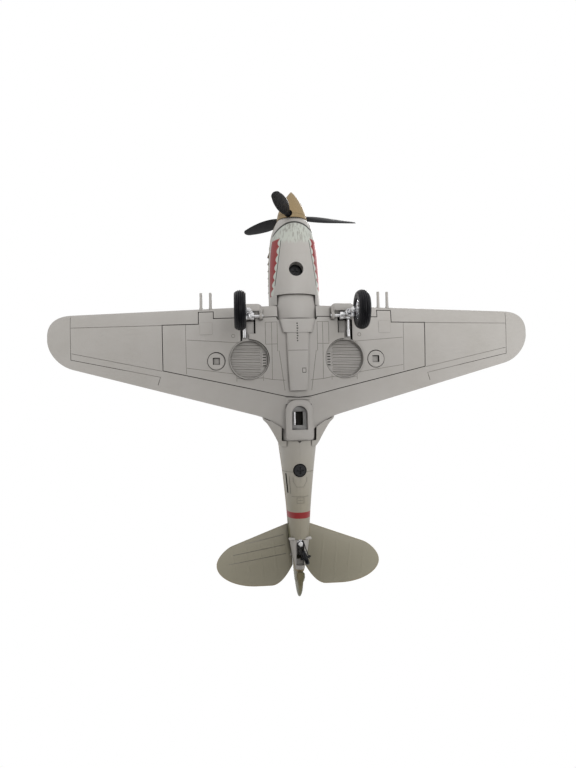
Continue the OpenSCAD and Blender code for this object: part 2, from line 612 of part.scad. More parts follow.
// Exhaust stubs in a plate, gun troughs and scoop on the cowling
module exhaust(side) color([0.25, 0.17, 0.12]) both(side) {
    translate([body_w - 2.2, exhaust_y[0], 0.2]) cube([1.2, exhaust_y[1] - exhaust_y[0], 4]);
    for (i = [0:5]) intersection() {
        exhaust_recess();
        translate([body_w - 1.9, exhaust_y[0] + 2 + 3.6 * i, 2.2]) rotate([0, 90, exhaust_lean]) difference() {
            cylinder(d = 2.3, h = 3.4, $fn = 24);
            translate([0, 0, 2]) cylinder(d = 1.5, h = 4, $fn = 24);
        }
    }
}
module exhaust_left() exhaust(1);
module exhaust_right() exhaust(-1);
module cowl_gun(side) color(cast_tan) cast() both(side) difference() {
    union() {
        hull() {
            translate([4.4, 48, 9.8]) sphere(r = 2, $fn = 20);
            translate([4.2, 62, 10.6]) sphere(r = 1.2, $fn = 20);
        }
        translate([4.4, 48, 10.6]) rotate([90, 0, 0]) cylinder(d = 1.5, h = 8, $fn = 20);
    }
    body_solid(0, 3, 20);
}
module cowl_gun_left() cowl_gun(1);
module cowl_gun_right() cowl_gun(-1);
module intake_scoop() color(cast_tan) cast() difference() {
    hull() {
        translate([0, 23, 9.6]) rotate([90, 0, 0]) cylinder(r = 2.1, h = 0.5, $fn = 24);
        translate([0, 42, 9.6]) sphere(r = 2.1, $fn = 24);
    }
    translate([0, 25, 10.4]) rotate([90, 0, 0]) cylinder(r = 1.2, h = 6, $fn = 24);
    body_solid(0, 2, 12);
}

// ---- propeller ----
blade_plane = 13;
blade_turn = 12;
spinner_wall = 1.2;
// radius, chord, thickness, pitch at a propeller of 35 mm radius
blade_keys = [[3, 2.6, 2.2, 60], [7, 2.8, 2, 56], [12, 5, 1.5, 48], [18, 6.3, 1.2, 40], [24, 6.1, 1, 34],
    [29, 5.1, 0.8, 31], [32.5, 3.6, 0.65, 29], [34.7, 1.5, 0.5, 28]];
module blade() loft([for (r = [34.7, 33.8, 32.2, 29.5, 26, 22, 18, 14.5, 11.5, 9, 7, 3.4])
    let (c = along(blade_keys, r, 1), t = along(blade_keys, r, 2), a = along(blade_keys, r, 3))
    [for (k = [0:11]) let (u = cos(30 * k) * c / 2, v = sin(30 * k) * t / 2)
        [r * prop_d / 70, blade_plane - u * sin(a) - v * cos(a), u * cos(a) - v * sin(a)]]]);
module propeller_blades() color(black) cast() difference() {
    union() {
        for (i = [0:2]) rotate([0, -blade_turn - 120 * i, 0]) blade();
        translate([0, spinner_l - 0.6, 0]) rotate([90, 0, 0]) cylinder(r = 4.2, h = 3, $fn = 40);
    }
    rotate([90, 0, 0]) cylinder(d = shaft_d + run_gap, h = 60, center = true, $fn = 96);
}
function spinner_r(y) = spinner_d / 2 * pow(1 - pow(1 - y / spinner_l, 1.6), 0.88);
module spinner() color(cast_tan) difference() {
    rotate([-90, 0, 0]) rotate_extrude() difference() {
        polygon([[0, 0], for (y = [0.25, 0.8, 1.6, 3, 5, 7, 9, 11, 13, spinner_l - 0.3, spinner_l])
            [spinner_r(y), y], [0, spinner_l]]);
        polygon([[0, 3.4], for (y = [5, 7, 9, 11, 13, spinner_l + 1])
            [spinner_r(min(y, spinner_l)) - spinner_wall, y], [0, spinner_l + 1]]);
    }
    for (i = [0:2]) rotate([0, -blade_turn - 120 * i, 0])
        translate([2, blade_plane - 1.9, -1.75]) cube([10, 5, 3.5]);
}
module propeller_shaft() color(chrome) translate([0, 9.5, 0]) rotate([-90, 0, 0])
    cylinder(d = shaft_d, h = 19);
module shaft_collar() color(chrome) translate([0, nose_y + 9.2, 0]) rotate([-90, 0, 0]) difference() {
    cylinder(d = 5, h = 2);
    translate([0, 0, -1]) cylinder(d = shaft_d, h = 4);
}
module nose_bearing() color(black) translate([0, nose_y - 0.2, 0]) rotate([-90, 0, 0]) difference() {
    cylinder(d = 6, h = 9);
    translate([0, 0, -1]) cylinder(d = shaft_d + 2 * run_gap, h = 12);
}

// ---- undercarriage ----
leg_lean = asin((main_wheel[0] - hinge[0]) / leg_l);
module along_leg(side) both(side)
    translate([leg_x, hinge[0], hinge[1]]) rotate([leg_lean, 0, 0]) children();
// Upper leg with its trunnion, then the sliding strut and axle
module gear_leg(side) color(chrome) along_leg(side) difference() {
    union() {
        translate([-2.6, 0, 0]) rotate([0, 90, 0]) cylinder(d = 3.8, h = 4.8);
        translate([0, 0, -10.6]) cylinder(d = 2.8, h = 10);
        translate([0, 0, -11]) cylinder(d = 3.4, h = 1.6);
    }
    translate([-5, 0, 0]) rotate([0, 90, 0]) cylinder(d = pin_d + 2 * run_gap, h = 10);
    translate([0, 0, -12]) cylinder(d = axle_d + 2 * run_gap, h = 9);
}
module gear_leg_left() gear_leg(1);
module gear_leg_right() gear_leg(-1);
module gear_strut(side) color(chrome) along_leg(side) {
    translate([0, 0, -leg_l - 0.9]) cylinder(d = axle_d, h = leg_l - 3.1);
    translate([0, 0, -leg_l]) rotate([0, 90, 0]) cylinder(d = axle_d, h = wheel_off + 2.3);
    translate([-0.5, 0.7, -leg_l + 1.2]) cube([1, 2.2, 1.4]);
    translate([-0.5, 2, -leg_l + 2.4]) rotate([12, 0, 0]) cube([1, 0.8, 5.4]);
}
module gear_strut_left() gear_strut(1);
module gear_strut_right() gear_strut(-1);
module wheel_hub(side) color(chrome) along_leg(side)
    translate([wheel_off, 0, -leg_l]) rotate([0, 90, 0]) difference() {
    union() {
        cylinder(d = wheel_d * 0.52, h = wheel_w - 1.2, center = true);
        cylinder(d = 4, h = wheel_w - 0.4, center = true);
    }
    cylinder(d = axle_d + 2 * run_gap, h = 20, center = true);
    for (z = [-1, 1]) translate([0, 0, z * wheel_w / 2])
        rotate_extrude() translate([wheel_d * 0.19, 0]) circle(d = 1.6);
}
module wheel_hub_left() wheel_hub(1);
module wheel_hub_right() wheel_hub(-1);
module tyre_form(d, w, bore) rotate_extrude($fn = 96) difference() {
    intersection() {
        translate([d / 2 - w * 0.62, 0]) circle(r = w * 0.62);
        translate([bore / 2, -w / 2]) square([d, w]);
    }
    translate([bore / 2 - 1, -w]) square([1, 2 * w]);
    for (z = [-0.16, 0.16]) translate([d / 2 - 0.35, z * w - 0.15]) square([1, 0.3]);
}
module tyre(side) color(black) along_leg(side) translate([wheel_off, 0, -leg_l]) rotate([0, 90, 0])
    tyre_form(wheel_d, wheel_w, wheel_d * 0.52);
module tyre_left() tyre(1);
module tyre_right() tyre(-1);

module at_caster() translate([caster[0], caster[1], 0]) rotate([0, 0, caster_turn]) children();
// Tail wheel
module tail_fork() color(chrome) at_caster() difference() {
    union() {
        translate([0, 0, -7.2]) cylinder(d = 1.8, h = 5.4);
        translate([0, 0, -8]) cylinder(d = 3, h = 1.3);
        translate([-tail_fork_w / 2 - 0.35, -0.6, -8.2]) cube([tail_fork_w + 0.7, 1.5, 1.2]);
        for (x = [-1, 1]) hull() {
            translate([x * tail_fork_w / 2 - 0.35, 0, -8.2]) cube([0.7, 0.9, 1.2]);
            translate([x * tail_fork_w / 2 - 0.35, caster_trail, tail_wheel_z]) rotate([0, 90, 0])
                cylinder(d = 2, h = 0.7, $fn = 32);
        }
    }
    translate([-10, caster_trail, tail_wheel_z]) rotate([0, 90, 0]) cylinder(d = 1.04, h = 20, $fn = 32);
}
module tail_axle() color(chrome) at_caster() translate([-tail_fork_w / 2 - 0.8, caster_trail, tail_wheel_z])
    rotate([0, 90, 0]) cylinder(d = 1, h = tail_fork_w + 1.6);
module tail_hub() color(chrome) at_caster()
    translate([0, caster_trail, tail_wheel_z]) rotate([0, 90, 0]) difference() {
    cylinder(d = tail_wheel_d * 0.5, h = 1.9, center = true);
    cylinder(d = 1 + 2 * run_gap, h = 10, center = true);
}
module tail_tyre() color(black) at_caster() translate([0, caster_trail, tail_wheel_z]) rotate([0, 90, 0])
    tyre_form(tail_wheel_d, 2, tail_wheel_d * 0.5);

stand() fuselage_left();
stand() fuselage_right();
stand() chin_cowl();
stand() radiator_core();
stand() radiator_flap();
stand() nose_bush();
stand() front_screw();
stand() rear_screw();
stand() wing_upper();
stand() wing_lower();
stand() wheel_well_left();
stand() wheel_well_right();
stand() jack_socket_left();
stand() jack_socket_right();
stand() gun_barrels_left();
stand() gun_barrels_right();
stand() gear_fairing_left();
stand() gear_fairing_right();
stand() hinge_pin_left();
stand() hinge_pin_right();
stand() retraction_rod_left();
stand() retraction_rod_right();
stand() stand_pad();
stand() stand_clip();
stand() tailplane_left();
stand() tailplane_right();
stand() rudder();
stand() tail_wheel_plate();
stand() tail_wheel_bush();
stand() windscreen();
stand() rear_glass();
stand() cockpit_tub();
stand() seat();
stand() instrument_panel();
stand() control_stick();
stand() gunsight();
stand() exhaust_left();
stand() exhaust_right();
stand() cowl_gun_left();
stand() cowl_gun_right();
stand() intake_scoop();
stand() spinner();
stand() propeller_blades();
stand() nose_bearing();
stand() propeller_shaft();
stand() shaft_collar();
stand() canopy();
stand() gear_leg_left();
stand() gear_leg_right();
stand() gear_strut_left();
stand() gear_strut_right();
stand() wheel_hub_left();
stand() wheel_hub_right();
stand() tyre_left();
stand() tyre_right();
stand() tail_fork();
stand() tail_axle();
stand() tail_hub();
stand() tail_tyre();
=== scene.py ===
"""Looks for a die-cast display model of a single-engined fighter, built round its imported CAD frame.

Shapes are drawn in the level airframe's own millimetres: +X port, +Y aft, +Z up, spinner tip at y = 0
and thrust line at z = 0. place() then turns each finished piece into the row frame."""
import json
from math import atan2, ceil, copysign, cos, pi, radians, sin, sqrt, tan, tau

import bmesh
import bpy
from mathutils import Matrix, Vector

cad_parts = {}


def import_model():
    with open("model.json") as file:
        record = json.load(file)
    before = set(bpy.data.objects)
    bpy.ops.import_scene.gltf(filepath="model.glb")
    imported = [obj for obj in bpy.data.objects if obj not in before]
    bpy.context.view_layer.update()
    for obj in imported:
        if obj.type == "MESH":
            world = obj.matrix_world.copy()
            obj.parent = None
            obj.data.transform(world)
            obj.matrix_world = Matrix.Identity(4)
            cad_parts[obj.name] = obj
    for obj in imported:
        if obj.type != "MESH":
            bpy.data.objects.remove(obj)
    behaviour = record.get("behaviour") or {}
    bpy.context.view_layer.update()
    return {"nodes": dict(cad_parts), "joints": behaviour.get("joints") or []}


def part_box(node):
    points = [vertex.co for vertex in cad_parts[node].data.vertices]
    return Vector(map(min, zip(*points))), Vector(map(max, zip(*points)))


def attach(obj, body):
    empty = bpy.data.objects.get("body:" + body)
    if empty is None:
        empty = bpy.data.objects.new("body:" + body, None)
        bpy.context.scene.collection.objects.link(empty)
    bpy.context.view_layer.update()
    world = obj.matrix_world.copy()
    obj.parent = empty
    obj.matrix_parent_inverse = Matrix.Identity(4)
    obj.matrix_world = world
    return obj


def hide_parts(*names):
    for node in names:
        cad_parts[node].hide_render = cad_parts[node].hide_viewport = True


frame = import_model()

MM = 0.001
UP, AFT, FORE, PORT = (0, 0, 1), (0, 1, 0), (0, -1, 0), (1, 0, 0)
SIDES = {"left": 1, "right": -1}

# ---- where the level airframe stands, from the propeller's joint ----
SPIN = next(j for j in frame["joints"] if j["name"] == "propeller_spin")
SPIN_Y = 20.0
SIT = atan2(SPIN["axis"][2], SPIN["axis"][1])
TO_ROW = (Matrix.Translation(SPIN["pos_m"]) @ Matrix.Rotation(SIT, 4, "X")
          @ Matrix.Scale(MM, 4) @ Matrix.Translation((0, -SPIN_Y, 0)))
TO_AIRFRAME = TO_ROW.inverted()


def cad_span(node, axis):
    """Extent of a CAD node along a row axis, in millimetres."""
    low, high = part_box(node)
    return (high[axis] - low[axis]) / MM


# ---- driving sizes, in millimetres ----
SPAN = cad_span("wing_upper", 0)
TAIL_SPAN = 2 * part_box("tailplane_left")[1].x / MM
WHEEL_D = 17.2
WHEEL_W = 5.0
LENGTH = 201.4
NOSE_Y = 15.5
BELLY_Y = 123.0
TAIL_POST = LENGTH - 14.6
WALL = 1.5
SEAM = 0.15
SILL_Z = 12.6
SILL_W = 7.8
CANOPY_TOP = SILL_Z + 8.8
COCKPIT_Y = (70.0, 96.0)
FLAP_Y = 66.0
FLAP_W = 9.0
CHIN_Y = (NOSE_Y + 1, 54.5)
CHIN_Z = -7.0
TONGUE_W = 7.9
WING_LE = 59.0
WING_TE_ROOT = 110.8
WING_TE_TIP = 87.4
TIP_LEN = 12.4
TIP_X = SPAN / 2 - TIP_LEN
TIP_Y = WING_LE + 12.9
ROOT_X = 20.0
WING_Z = -12.6
DIHEDRAL = tan(radians(5.6))
TAIL_Z = 6.0
HINGE = (64.8, -16.2)
LEG_X = 22.6
LEG_L = 19.8
LEG_LEAN = radians(2.026)
WHEEL_OFF = 3.8
WELL_Y = HINGE[0] + LEG_L
WELL_R = WHEEL_D / 2 + 0.35
WELL_WALL = 0.35
WELL_FLOOR_Z = -9.55
CHANNEL_Z = -11.2
JACK = (38.0, 85.0)
JACK_D = 8.3
EXHAUST_Y = (27.5, 51.5)
EXHAUST_Z = (0.2, 4.2)
EXHAUST_MID_Z = 2.2
MOUTH_X = 2.4
MOUTH_R = 1.4
MOUTH_Z = -7.3
GUN_XS = (40.4, 44.9)
SCREW_FRONT_Y = 42.9
SCREW_REAR_Y = 137.0
SCREW_SEAT_Z = -9.9
PAD_Y = (104.0, 122.4)
PAD_TOP = -14.4
PAD_W = 12.6
CLIP_Y = 112.6
CLIP_HALF = (6, 6.5)
CASTER_Y = TAIL_POST - 14.5
CASTER_TRAIL = 6.3
CASTER_TURN = radians(-18)
TAIL_WHEEL_Z = -9.4
TAIL_TAB_Y = (TAIL_POST - 16, TAIL_POST - 6)
TAIL_WHEEL_D = 6.8
SPINNER_L = 15.0
SPINNER_D = 15.0
BLADE_Y = 13.0
BLADE_TURN = radians(12)
PROP_R = 34.9
LINE_W = 0.24
LINE_DEEP = 0.16


# =========================== node materials ===========================
class Value:
    """A shader socket that can be added, multiplied and compared like a number."""

    def __init__(self, tree, socket):
        self.tree, self.socket = tree, socket

    def math(self, operation, other=None, clamp=False):
        node = self.tree.nodes.new("ShaderNodeMath")
        node.operation, node.use_clamp = operation, clamp
        self.tree.links.new(self.socket, node.inputs[0])
        if isinstance(other, Value):
            self.tree.links.new(other.socket, node.inputs[1])
        elif other is not None:
            node.inputs[1].default_value = other
        return Value(self.tree, node.outputs[0])

    def __add__(self, other):
        return self.math("ADD", other)

    def __sub__(self, other):
        return self.math("SUBTRACT", other)

    def __mul__(self, other):
        return self.math("MULTIPLY", other)

    def __abs__(self):
        return self.math("ABSOLUTE")

    def above(self, edge, soft):
        """0 below edge, 1 above it, with a soft step between."""
        return ((self - (edge - soft / 2)) * (1 / soft)).math("ADD", 0.0, clamp=True)

    def below(self, edge, soft):
        return self.above(edge, soft) * -1.0 + 1.0

    def between(self, low, high, soft):
        return self.above(low, soft) * self.below(high, soft)


DARK = 0.03  # colours below this are given a weaker shine


class Surface:
    """A Principled material with helpers; positions are in airframe millimetres."""

    def __init__(self, name, colour, roughness=0.5, metallic=0.0):
        self.material = bpy.data.materials.new(name)
        self.material.use_nodes = True
        self.tree = self.material.node_tree
        self.shader = self.tree.nodes["Principled BSDF"]
        self.shader.inputs["Metallic"].default_value = metallic
        self.shader.inputs["Roughness"].default_value = roughness
        self.shader.inputs["Base Color"].default_value = (*colour, 1)
        self.shader.inputs["Specular IOR Level"].default_value = 0.15 if max(colour) < DARK else 0.3
        self.colour = (*colour, 1)
        turn = self.tree.nodes.new("ShaderNodeMapping")
        turn.inputs["Scale"].default_value = (1 / MM,) * 3
        turn.inputs["Rotation"].default_value = (-SIT, 0, 0)
        turn.inputs["Location"].default_value = TO_AIRFRAME.to_translation()
        here = self.tree.nodes.new("ShaderNodeTexCoord")
        self.tree.links.new(here.outputs["Object"], turn.inputs["Vector"])
        self.place = turn.outputs["Vector"]
        split = self.tree.nodes.new("ShaderNodeSeparateXYZ")
        self.tree.links.new(self.place, split.inputs[0])
        self.x, self.y, self.z = (Value(self.tree, s) for s in split.outputs)

    def noise(self, size, detail=3.0, rough=0.55, stretch=(1, 1, 1)):
        """Noise from 0 to 1 whose blobs are about size millimetres across."""
        scale = self.tree.nodes.new("ShaderNodeMapping")
        scale.inputs["Scale"].default_value = [s / size for s in stretch]
        self.tree.links.new(self.place, scale.inputs["Vector"])
        node = self.tree.nodes.new("ShaderNodeTexNoise")
        node.inputs["Scale"].default_value = 1.0
        node.inputs["Detail"].default_value = detail
        node.inputs["Roughness"].default_value = rough
        self.tree.links.new(scale.outputs[0], node.inputs["Vector"])
        return Value(self.tree, node.outputs["Fac"])

    def recess_shade(self, reach=1.2):
        """Mask for painted shade, from ambient occlusion: 1 deep in corners and recesses, 0 in the open."""
        node = self.tree.nodes.new("ShaderNodeAmbientOcclusion")
        node.samples = 8
        node.inputs["Distance"].default_value = reach * MM
        return Value(self.tree, node.outputs["AO"]) * -1.0 + 1.0

    def coat(self, mask, colour):
        """Lays a colour over what is there, where mask is 1."""
        mix = self.tree.nodes.new("ShaderNodeMix")
        mix.data_type = "RGBA"
        mix.clamp_factor = True
        self.tree.links.new(mask.socket, mix.inputs["Factor"])
        if isinstance(self.colour, tuple):
            mix.inputs[6].default_value = self.colour
        else:
            self.tree.links.new(self.colour, mix.inputs[6])
        mix.inputs[7].default_value = (*colour, 1)
        self.colour = mix.outputs[2]
        return self

    def done(self, rough=None, bump=None, depth=0.02):
        """Wires the colour, a roughness value and a bump of that depth in millimetres."""
        if not isinstance(self.colour, tuple):
            self.tree.links.new(self.colour, self.shader.inputs["Base Color"])
        if rough is not None:
            self.tree.links.new(rough.socket, self.shader.inputs["Roughness"])
        if bump is not None:
            node = self.tree.nodes.new("ShaderNodeBump")
            node.inputs["Distance"].default_value = depth * MM
            self.tree.links.new(bump.socket, node.inputs["Height"])
            self.tree.links.new(node.outputs[0], self.shader.inputs["Normal"])
        return self.material


GREY = (0.348, 0.332, 0.316)
WARM_GREY = (0.215, 0.195, 0.145)
TAIL_GREY = (0.205, 0.190, 0.145)
TAN = (0.215, 0.160, 0.085)
SPINNER_TAN = (0.225, 0.160, 0.080)
OLIVE = (0.100, 0.095, 0.050)
# near-black laid into corners and recesses as painted shade
RECESS_SHADE_COLOUR = (0.030, 0.027, 0.022)
DIRT = (0.210, 0.193, 0.155)
FAINT = (0.165, 0.156, 0.143)
RED = (0.20, 0.006, 0.010)
WHITE = (0.40, 0.42, 0.385)
BLACK = (0.018, 0.018, 0.019)


def weather_and_shade(surface, dirt=0.5):
    """Mottled fading and dirt, painted shade in corners and recesses, and the fine grain of sprayed paint."""
    mottle = surface.noise(9.0, 4.0)
    surface.coat(mottle.above(0.58, 0.35) * 0.12 * dirt * 2, DIRT)
    surface.coat(surface.noise(26.0, 3.0, stretch=(1, 0.35, 1)).above(0.58, 0.35) * 0.12 * dirt * 2, DIRT)
    # painted shade: corners and recesses darkened by ambient occlusion
    surface.coat(surface.recess_shade() * 0.75, RECESS_SHADE_COLOUR)
    grain = surface.noise(0.35, 2.0)
    rough = grain * 0.12 + mottle * 0.12 + 0.36
    return surface.done(rough, grain + surface.noise(3.0, 2.0) * 2.0, 0.012)


def camouflage_patches(surface):
    """1 in the olive patches of the upper camouflage."""
    return surface.noise(46.0, 1.5, 0.4).above(0.53, 0.02)


def camouflage(surface, mask):
    """Tan and olive drab patches laid where mask is 1."""
    surface.coat(mask, TAN)
    surface.coat(mask * camouflage_patches(surface), OLIVE)


def paint_fuselage():
    """Grey below a sprayed edge that climbs aft, camouflage above and a tail band."""
    s = Surface("Paint fuselage", GREY)
    s.coat(s.y.above(132.0, 44.0) * 0.85, WARM_GREY)
    edge = s.z + s.y.below(52.0, 30.0) * 1.8 + s.noise(14.0, 1.0) * 1.2
    camouflage(s, edge.above(-2.2, 0.5))
    s.coat(s.y.between(157.2, 160.2, 0.12), RED)
    return weather_and_shade(s)


def paint_chin():
    """Grey chin with plain trim: a dark curved line, a streaky pale band and red flashes at the sides."""
    s = Surface("Paint chin", GREY)
    curve = s.y - s.x * s.x * 0.052
    ragged = s.y - s.noise(1.1, 2.0, 0.6, (1, 0.12, 1)) * 5.0
    band = curve.above(19.8, 0.2) * ragged.below(26.8, 2.2)
    s.coat(band * 0.92, WHITE)
    s.coat(band * s.noise(0.8, 2.0, 0.6, (1, 0.1, 1)).above(0.56, 0.12) * 0.55, FAINT)
    s.coat(curve.between(18.9, 19.9, 0.12) * s.z.below(-4.5, 0.3), BLACK)
    inner = abs(s.x) - s.y * 0.150
    flash = s.y.between(27.5, 54.6, 0.6) * inner.above(2.45, 0.12) * (s.z - s.y * 0.16).below(-10.4, 0.12)
    s.coat(flash, WHITE)
    scallops = abs((s.y * 0.8).math("SINE")) * 0.9
    s.coat(flash * (inner - scallops).above(2.75, 0.12) * (s.z - s.y * 0.16).below(-12.0, 0.2), RED)
    s.coat(s.y.between(28.4, 50.0, 0.6) * inner.between(2.2, 2.5, 0.08), BLACK)
    s.coat((s.z - s.y * 0.16).above(-10.35, 0.12) * s.y.above(27.0, 2.0), TAN)
    return weather_and_shade(s)


def paint_wing():
    """Camouflage on top, grey below, parted along the leading and trailing edges."""
    s = Surface("Paint wing", GREY)
    middle = s.z - abs(s.x) * DIHEDRAL - (WING_Z + 0.3)
    camouflage(s, middle.above(0.35, 0.4) * abs(s.x).above(7.9, 0.1))
    return weather_and_shade(s)


def paint_upper():
    s = Surface("Paint upper", TAN)
    s.coat(camouflage_patches(s), OLIVE)
    return weather_and_shade(s)


def paint_rudder():
    s = Surface("Paint rudder", OLIVE)
    s.coat(s.noise(9.0, 2.0).above(0.6, 0.2) * 0.5, TAN)
    return weather_and_shade(s)


def paint_tail():
    """Tailplane: camouflage above its middle plane, a warmer grey below."""
    s = Surface("Paint tail", TAIL_GREY)
    camouflage(s, s.z.above(TAIL_Z - 0.2, 0.2))
    return weather_and_shade(s)


def paint_spinner():
    s = Surface("Paint spinner", SPINNER_TAN)
    s.coat(s.noise(5.0, 4.0).above(0.6, 0.2) * 0.4, (0.42, 0.30, 0.17))
    return weather_and_shade(s, 0.3)


# A dark material with a little mottling, for engraved lines and as painted shade on the walls of gaps, holes
# and recesses.
def dark_fill(name, colour):
    s = Surface(name, colour, 0.7)
    s.coat(s.noise(2.0).above(0.55, 0.3) * 0.4, [c * 1.8 for c in colour])
    return s.done()


def chrome():
    s = Surface("Chrome", (0.80, 0.80, 0.82), 0.14, 1.0)
    # painted shade: the plating darkened in corners and recesses
    s.coat(s.recess_shade(0.8) * 0.7, (0.12, 0.12, 0.13))
    smear = s.noise(1.6, 3.0)
    return s.done(smear * 0.16 + 0.084, s.noise(0.9), 0.008)


def plain(name, colour, rough=0.5, metallic=0.0, size=0.5, depth=0.02, fleck=None):
    """Moulded plastic, rubber or bare metal with a little grain and colour drift."""
    s = Surface(name, colour, rough, metallic)
    s.coat(s.noise(2.2, 4.0).above(0.55, 0.3) * 0.45, fleck or [c * 1.7 + 0.006 for c in colour])
    grain = s.noise(size, 3.0)
    return s.done(grain * 0.2 + (rough - 0.1), grain, depth)


def clear_plastic():
    s = Surface("Clear plastic", (0.90, 0.95, 0.96), 0.04)
    s.shader.inputs["Transmission Weight"].default_value = 1.0
    s.shader.inputs["IOR"].default_value = 1.25
    haze = s.noise(1.2, 3.0)
    return s.done(haze * 0.07 + 0.015, haze, 0.004)


PAINT_GREY = weather_and_shade(Surface("Paint grey", GREY))
PAINT_FUSELAGE = paint_fuselage()
PAINT_CHIN = paint_chin()
PAINT_WING = paint_wing()
PAINT_UPPER = paint_upper()
PAINT_RUDDER = paint_rudder()
PAINT_TAIL = paint_tail()
PAINT_SPINNER = paint_spinner()
# near-black for panel lines, and painted shade on the walls of gaps, holes and recesses
LINE_AND_GAP_SHADE = dark_fill("Dark line and painted gap shade", (0.014, 0.013, 0.011))
# fainter dark for light panel lines and for painted shadows beside the well ribs
FAINT_LINE_AND_SHADOW = dark_fill("Faint line and painted rib shadow", FAINT)
CHROME = chrome()
# a darker copy of the plated steel, painting the shade on the clip
SHADED_CLIP_STEEL = plain("Shaded clip steel", (0.12, 0.118, 0.115), 0.35, 0.2)
DARK_METAL = plain("Blackened steel", (0.009, 0.009, 0.010), 0.4)
# black plastic for the propeller and cockpit, and black painted shade inside holes, mouths and slots
BLACK_PLASTIC_AND_HOLE_SHADE = plain("Matte black plastic and hole shade", (0.008, 0.008, 0.009), 0.42, 0.0, 0.4, 0.012)
RUBBER = plain("Tyre rubber", (0.012, 0.012, 0.014), 0.38, 0.0, 0.3, 0.02)
CLEAR = clear_plastic()
COCKPIT_GREEN = plain("Cockpit green", (0.10, 0.125, 0.06), 0.55)
LEATHER = plain("Seat brown", (0.075, 0.04, 0.022), 0.6, 0.0, 0.7, 0.05)
BURNT = plain("Burnt exhaust", (0.065, 0.038, 0.024), 0.6, 0.3, 0.6, 0.03, (0.17, 0.10, 0.06))
DIAL = plain("Dial faces", (0.45, 0.46, 0.42), 0.3)


# =========================== shape helpers ===========================
def make(name, points, faces, material):
    """A mesh object in airframe millimetres, normals outward."""
    mesh = bpy.data.meshes.new(name)
    mesh.from_pydata([tuple(p) for p in points], [], [tuple(f) for f in faces])
    work = bmesh.new()
    work.from_mesh(mesh)
    bmesh.ops.recalc_face_normals(work, faces=work.faces)
    work.to_mesh(mesh)
    work.free()
    obj = bpy.data.objects.new(name, mesh)
    bpy.context.scene.collection.objects.link(obj)
    mesh.materials.append(material)
    return obj


def loft(name, rings, material):
    """One closed skin over rings of equal length."""
    n, m = len(rings[0]), len(rings)
    faces = [[n - 1 - j for j in range(n)], [(m - 1) * n + j for j in range(n)]]
    for i in range(m - 1):
        for j in range(n):
            k = (j + 1) % n
            faces.append([i * n + j, i * n + k, (i + 1) * n + k, (i + 1) * n + j])
    return make(name, [p for r in rings for p in r], faces, material)


def prism(outline, low, high, material):
    """An outline in plan, drawn up from low to high."""
    return loft("prism", [[(x, y, low) for x, y in outline], [(x, y, high) for x, y in outline]], material)


def block(low, high, material):
    return prism([(low[0], low[1]), (high[0], low[1]), (high[0], high[1]), (low[0], high[1])],
                 low[2], high[2], material)


def axes_of(direction):
    """Two unit vectors square to a direction."""
    d = Vector(direction).normalized()
    side = d.cross(Vector(UP) if abs(d.z) < 0.9 else Vector(PORT)).normalized()
    return d, side, d.cross(side)


WELD_GAP = 1e-4


def turned(name, profile, start, direction, material, n=64):
    """A solid of revolution: profile is (radius, distance along) pairs, the last joined to the first."""
    d, u, v = axes_of(direction)
    points, faces, m = [], [], len(profile)
    for i in range(n):
        a = tau * i / n
        out = u * cos(a) + v * sin(a)
        points += [Vector(start) + d * h + out * r for r, h in profile]
    for i in range(n):
        k = (i + 1) % n
        for j in range(m):
            q = (j + 1) % m
            faces.append([i * m + j, i * m + q, k * m + q, k * m + j])
    obj = make(name, points, faces, material)
    weld(obj)
    return obj


def weld(obj):
    """Joins points that fall together, such as those on a solid's own axis."""
    work = bmesh.new()
    work.from_mesh(obj.data)
    bmesh.ops.remove_doubles(work, verts=work.verts, dist=WELD_GAP)
    bmesh.ops.dissolve_degenerate(work, edges=work.edges, dist=WELD_GAP)
    bmesh.ops.recalc_face_normals(work, faces=work.faces)
    work.to_mesh(obj.data)
    work.free()


def rod(name, start, end, r, material, n=48, ease=0.12):
    """A round bar from start to end with eased rims."""
    length = (Vector(end) - Vector(start)).length
    ease = min(ease, r * 0.4, length * 0.3)
    profile = [(0, 0), (r - ease, 0), (r - ease * 0.3, ease * 0.3), (r, ease), (r, length - ease),
               (r - ease * 0.3, length - ease * 0.3), (r - ease, length), (0, length)]
    return turned(name, profile, start, Vector(end) - Vector(start), material, n)


def drill(x, y, low, high, r, material=None, n=48):
    """A tool that cuts an upright round hole; its walls are near-black painted shade unless another material
    is given.
    """
    return rod("drill", (x, y, low), (x, y, high), r, material or LINE_AND_GAP_SHADE, n=n, ease=0)


CRISP_ANGLE = radians(40)
SMOOTH_ANGLE = radians(32)


def combine(obj, operation, *tools):
    """Cuts, joins or trims obj with closed tools, which are used up."""
    for tool in tools:
        step = obj.modifiers.new("step", "BOOLEAN")
        step.operation = operation
        step.solver = "MANIFOLD"
        step.material_mode = "TRANSFER"
        step.object = tool
    shaped = bpy.data.meshes.new_from_object(obj.evaluated_get(bpy.context.evaluated_depsgraph_get()))
    obj.modifiers.clear()
    old, obj.data = obj.data, shaped
    bpy.data.meshes.remove(old)
    for tool in tools:
        bpy.data.objects.remove(tool)
    return obj


def cut(obj, *tools):
    return combine(obj, "DIFFERENCE", *tools)


def fuse(obj, *tools):
    return combine(obj, "UNION", *tools)


def within(obj, *tools):
    return combine(obj, "INTERSECT", *tools)


def mirrored(obj, side=-1):
    """obj itself on the port side, or its mirror image in x = 0 in its place."""
    if side < 0:
        obj.data.transform(Matrix.Scale(-1, 4, PORT))
        obj.data.flip_normals()
    return obj


def copy_of(obj):
    twin = obj.copy()
    twin.data = obj.data.copy()
    bpy.context.scene.collection.objects.link(twin)
    return twin


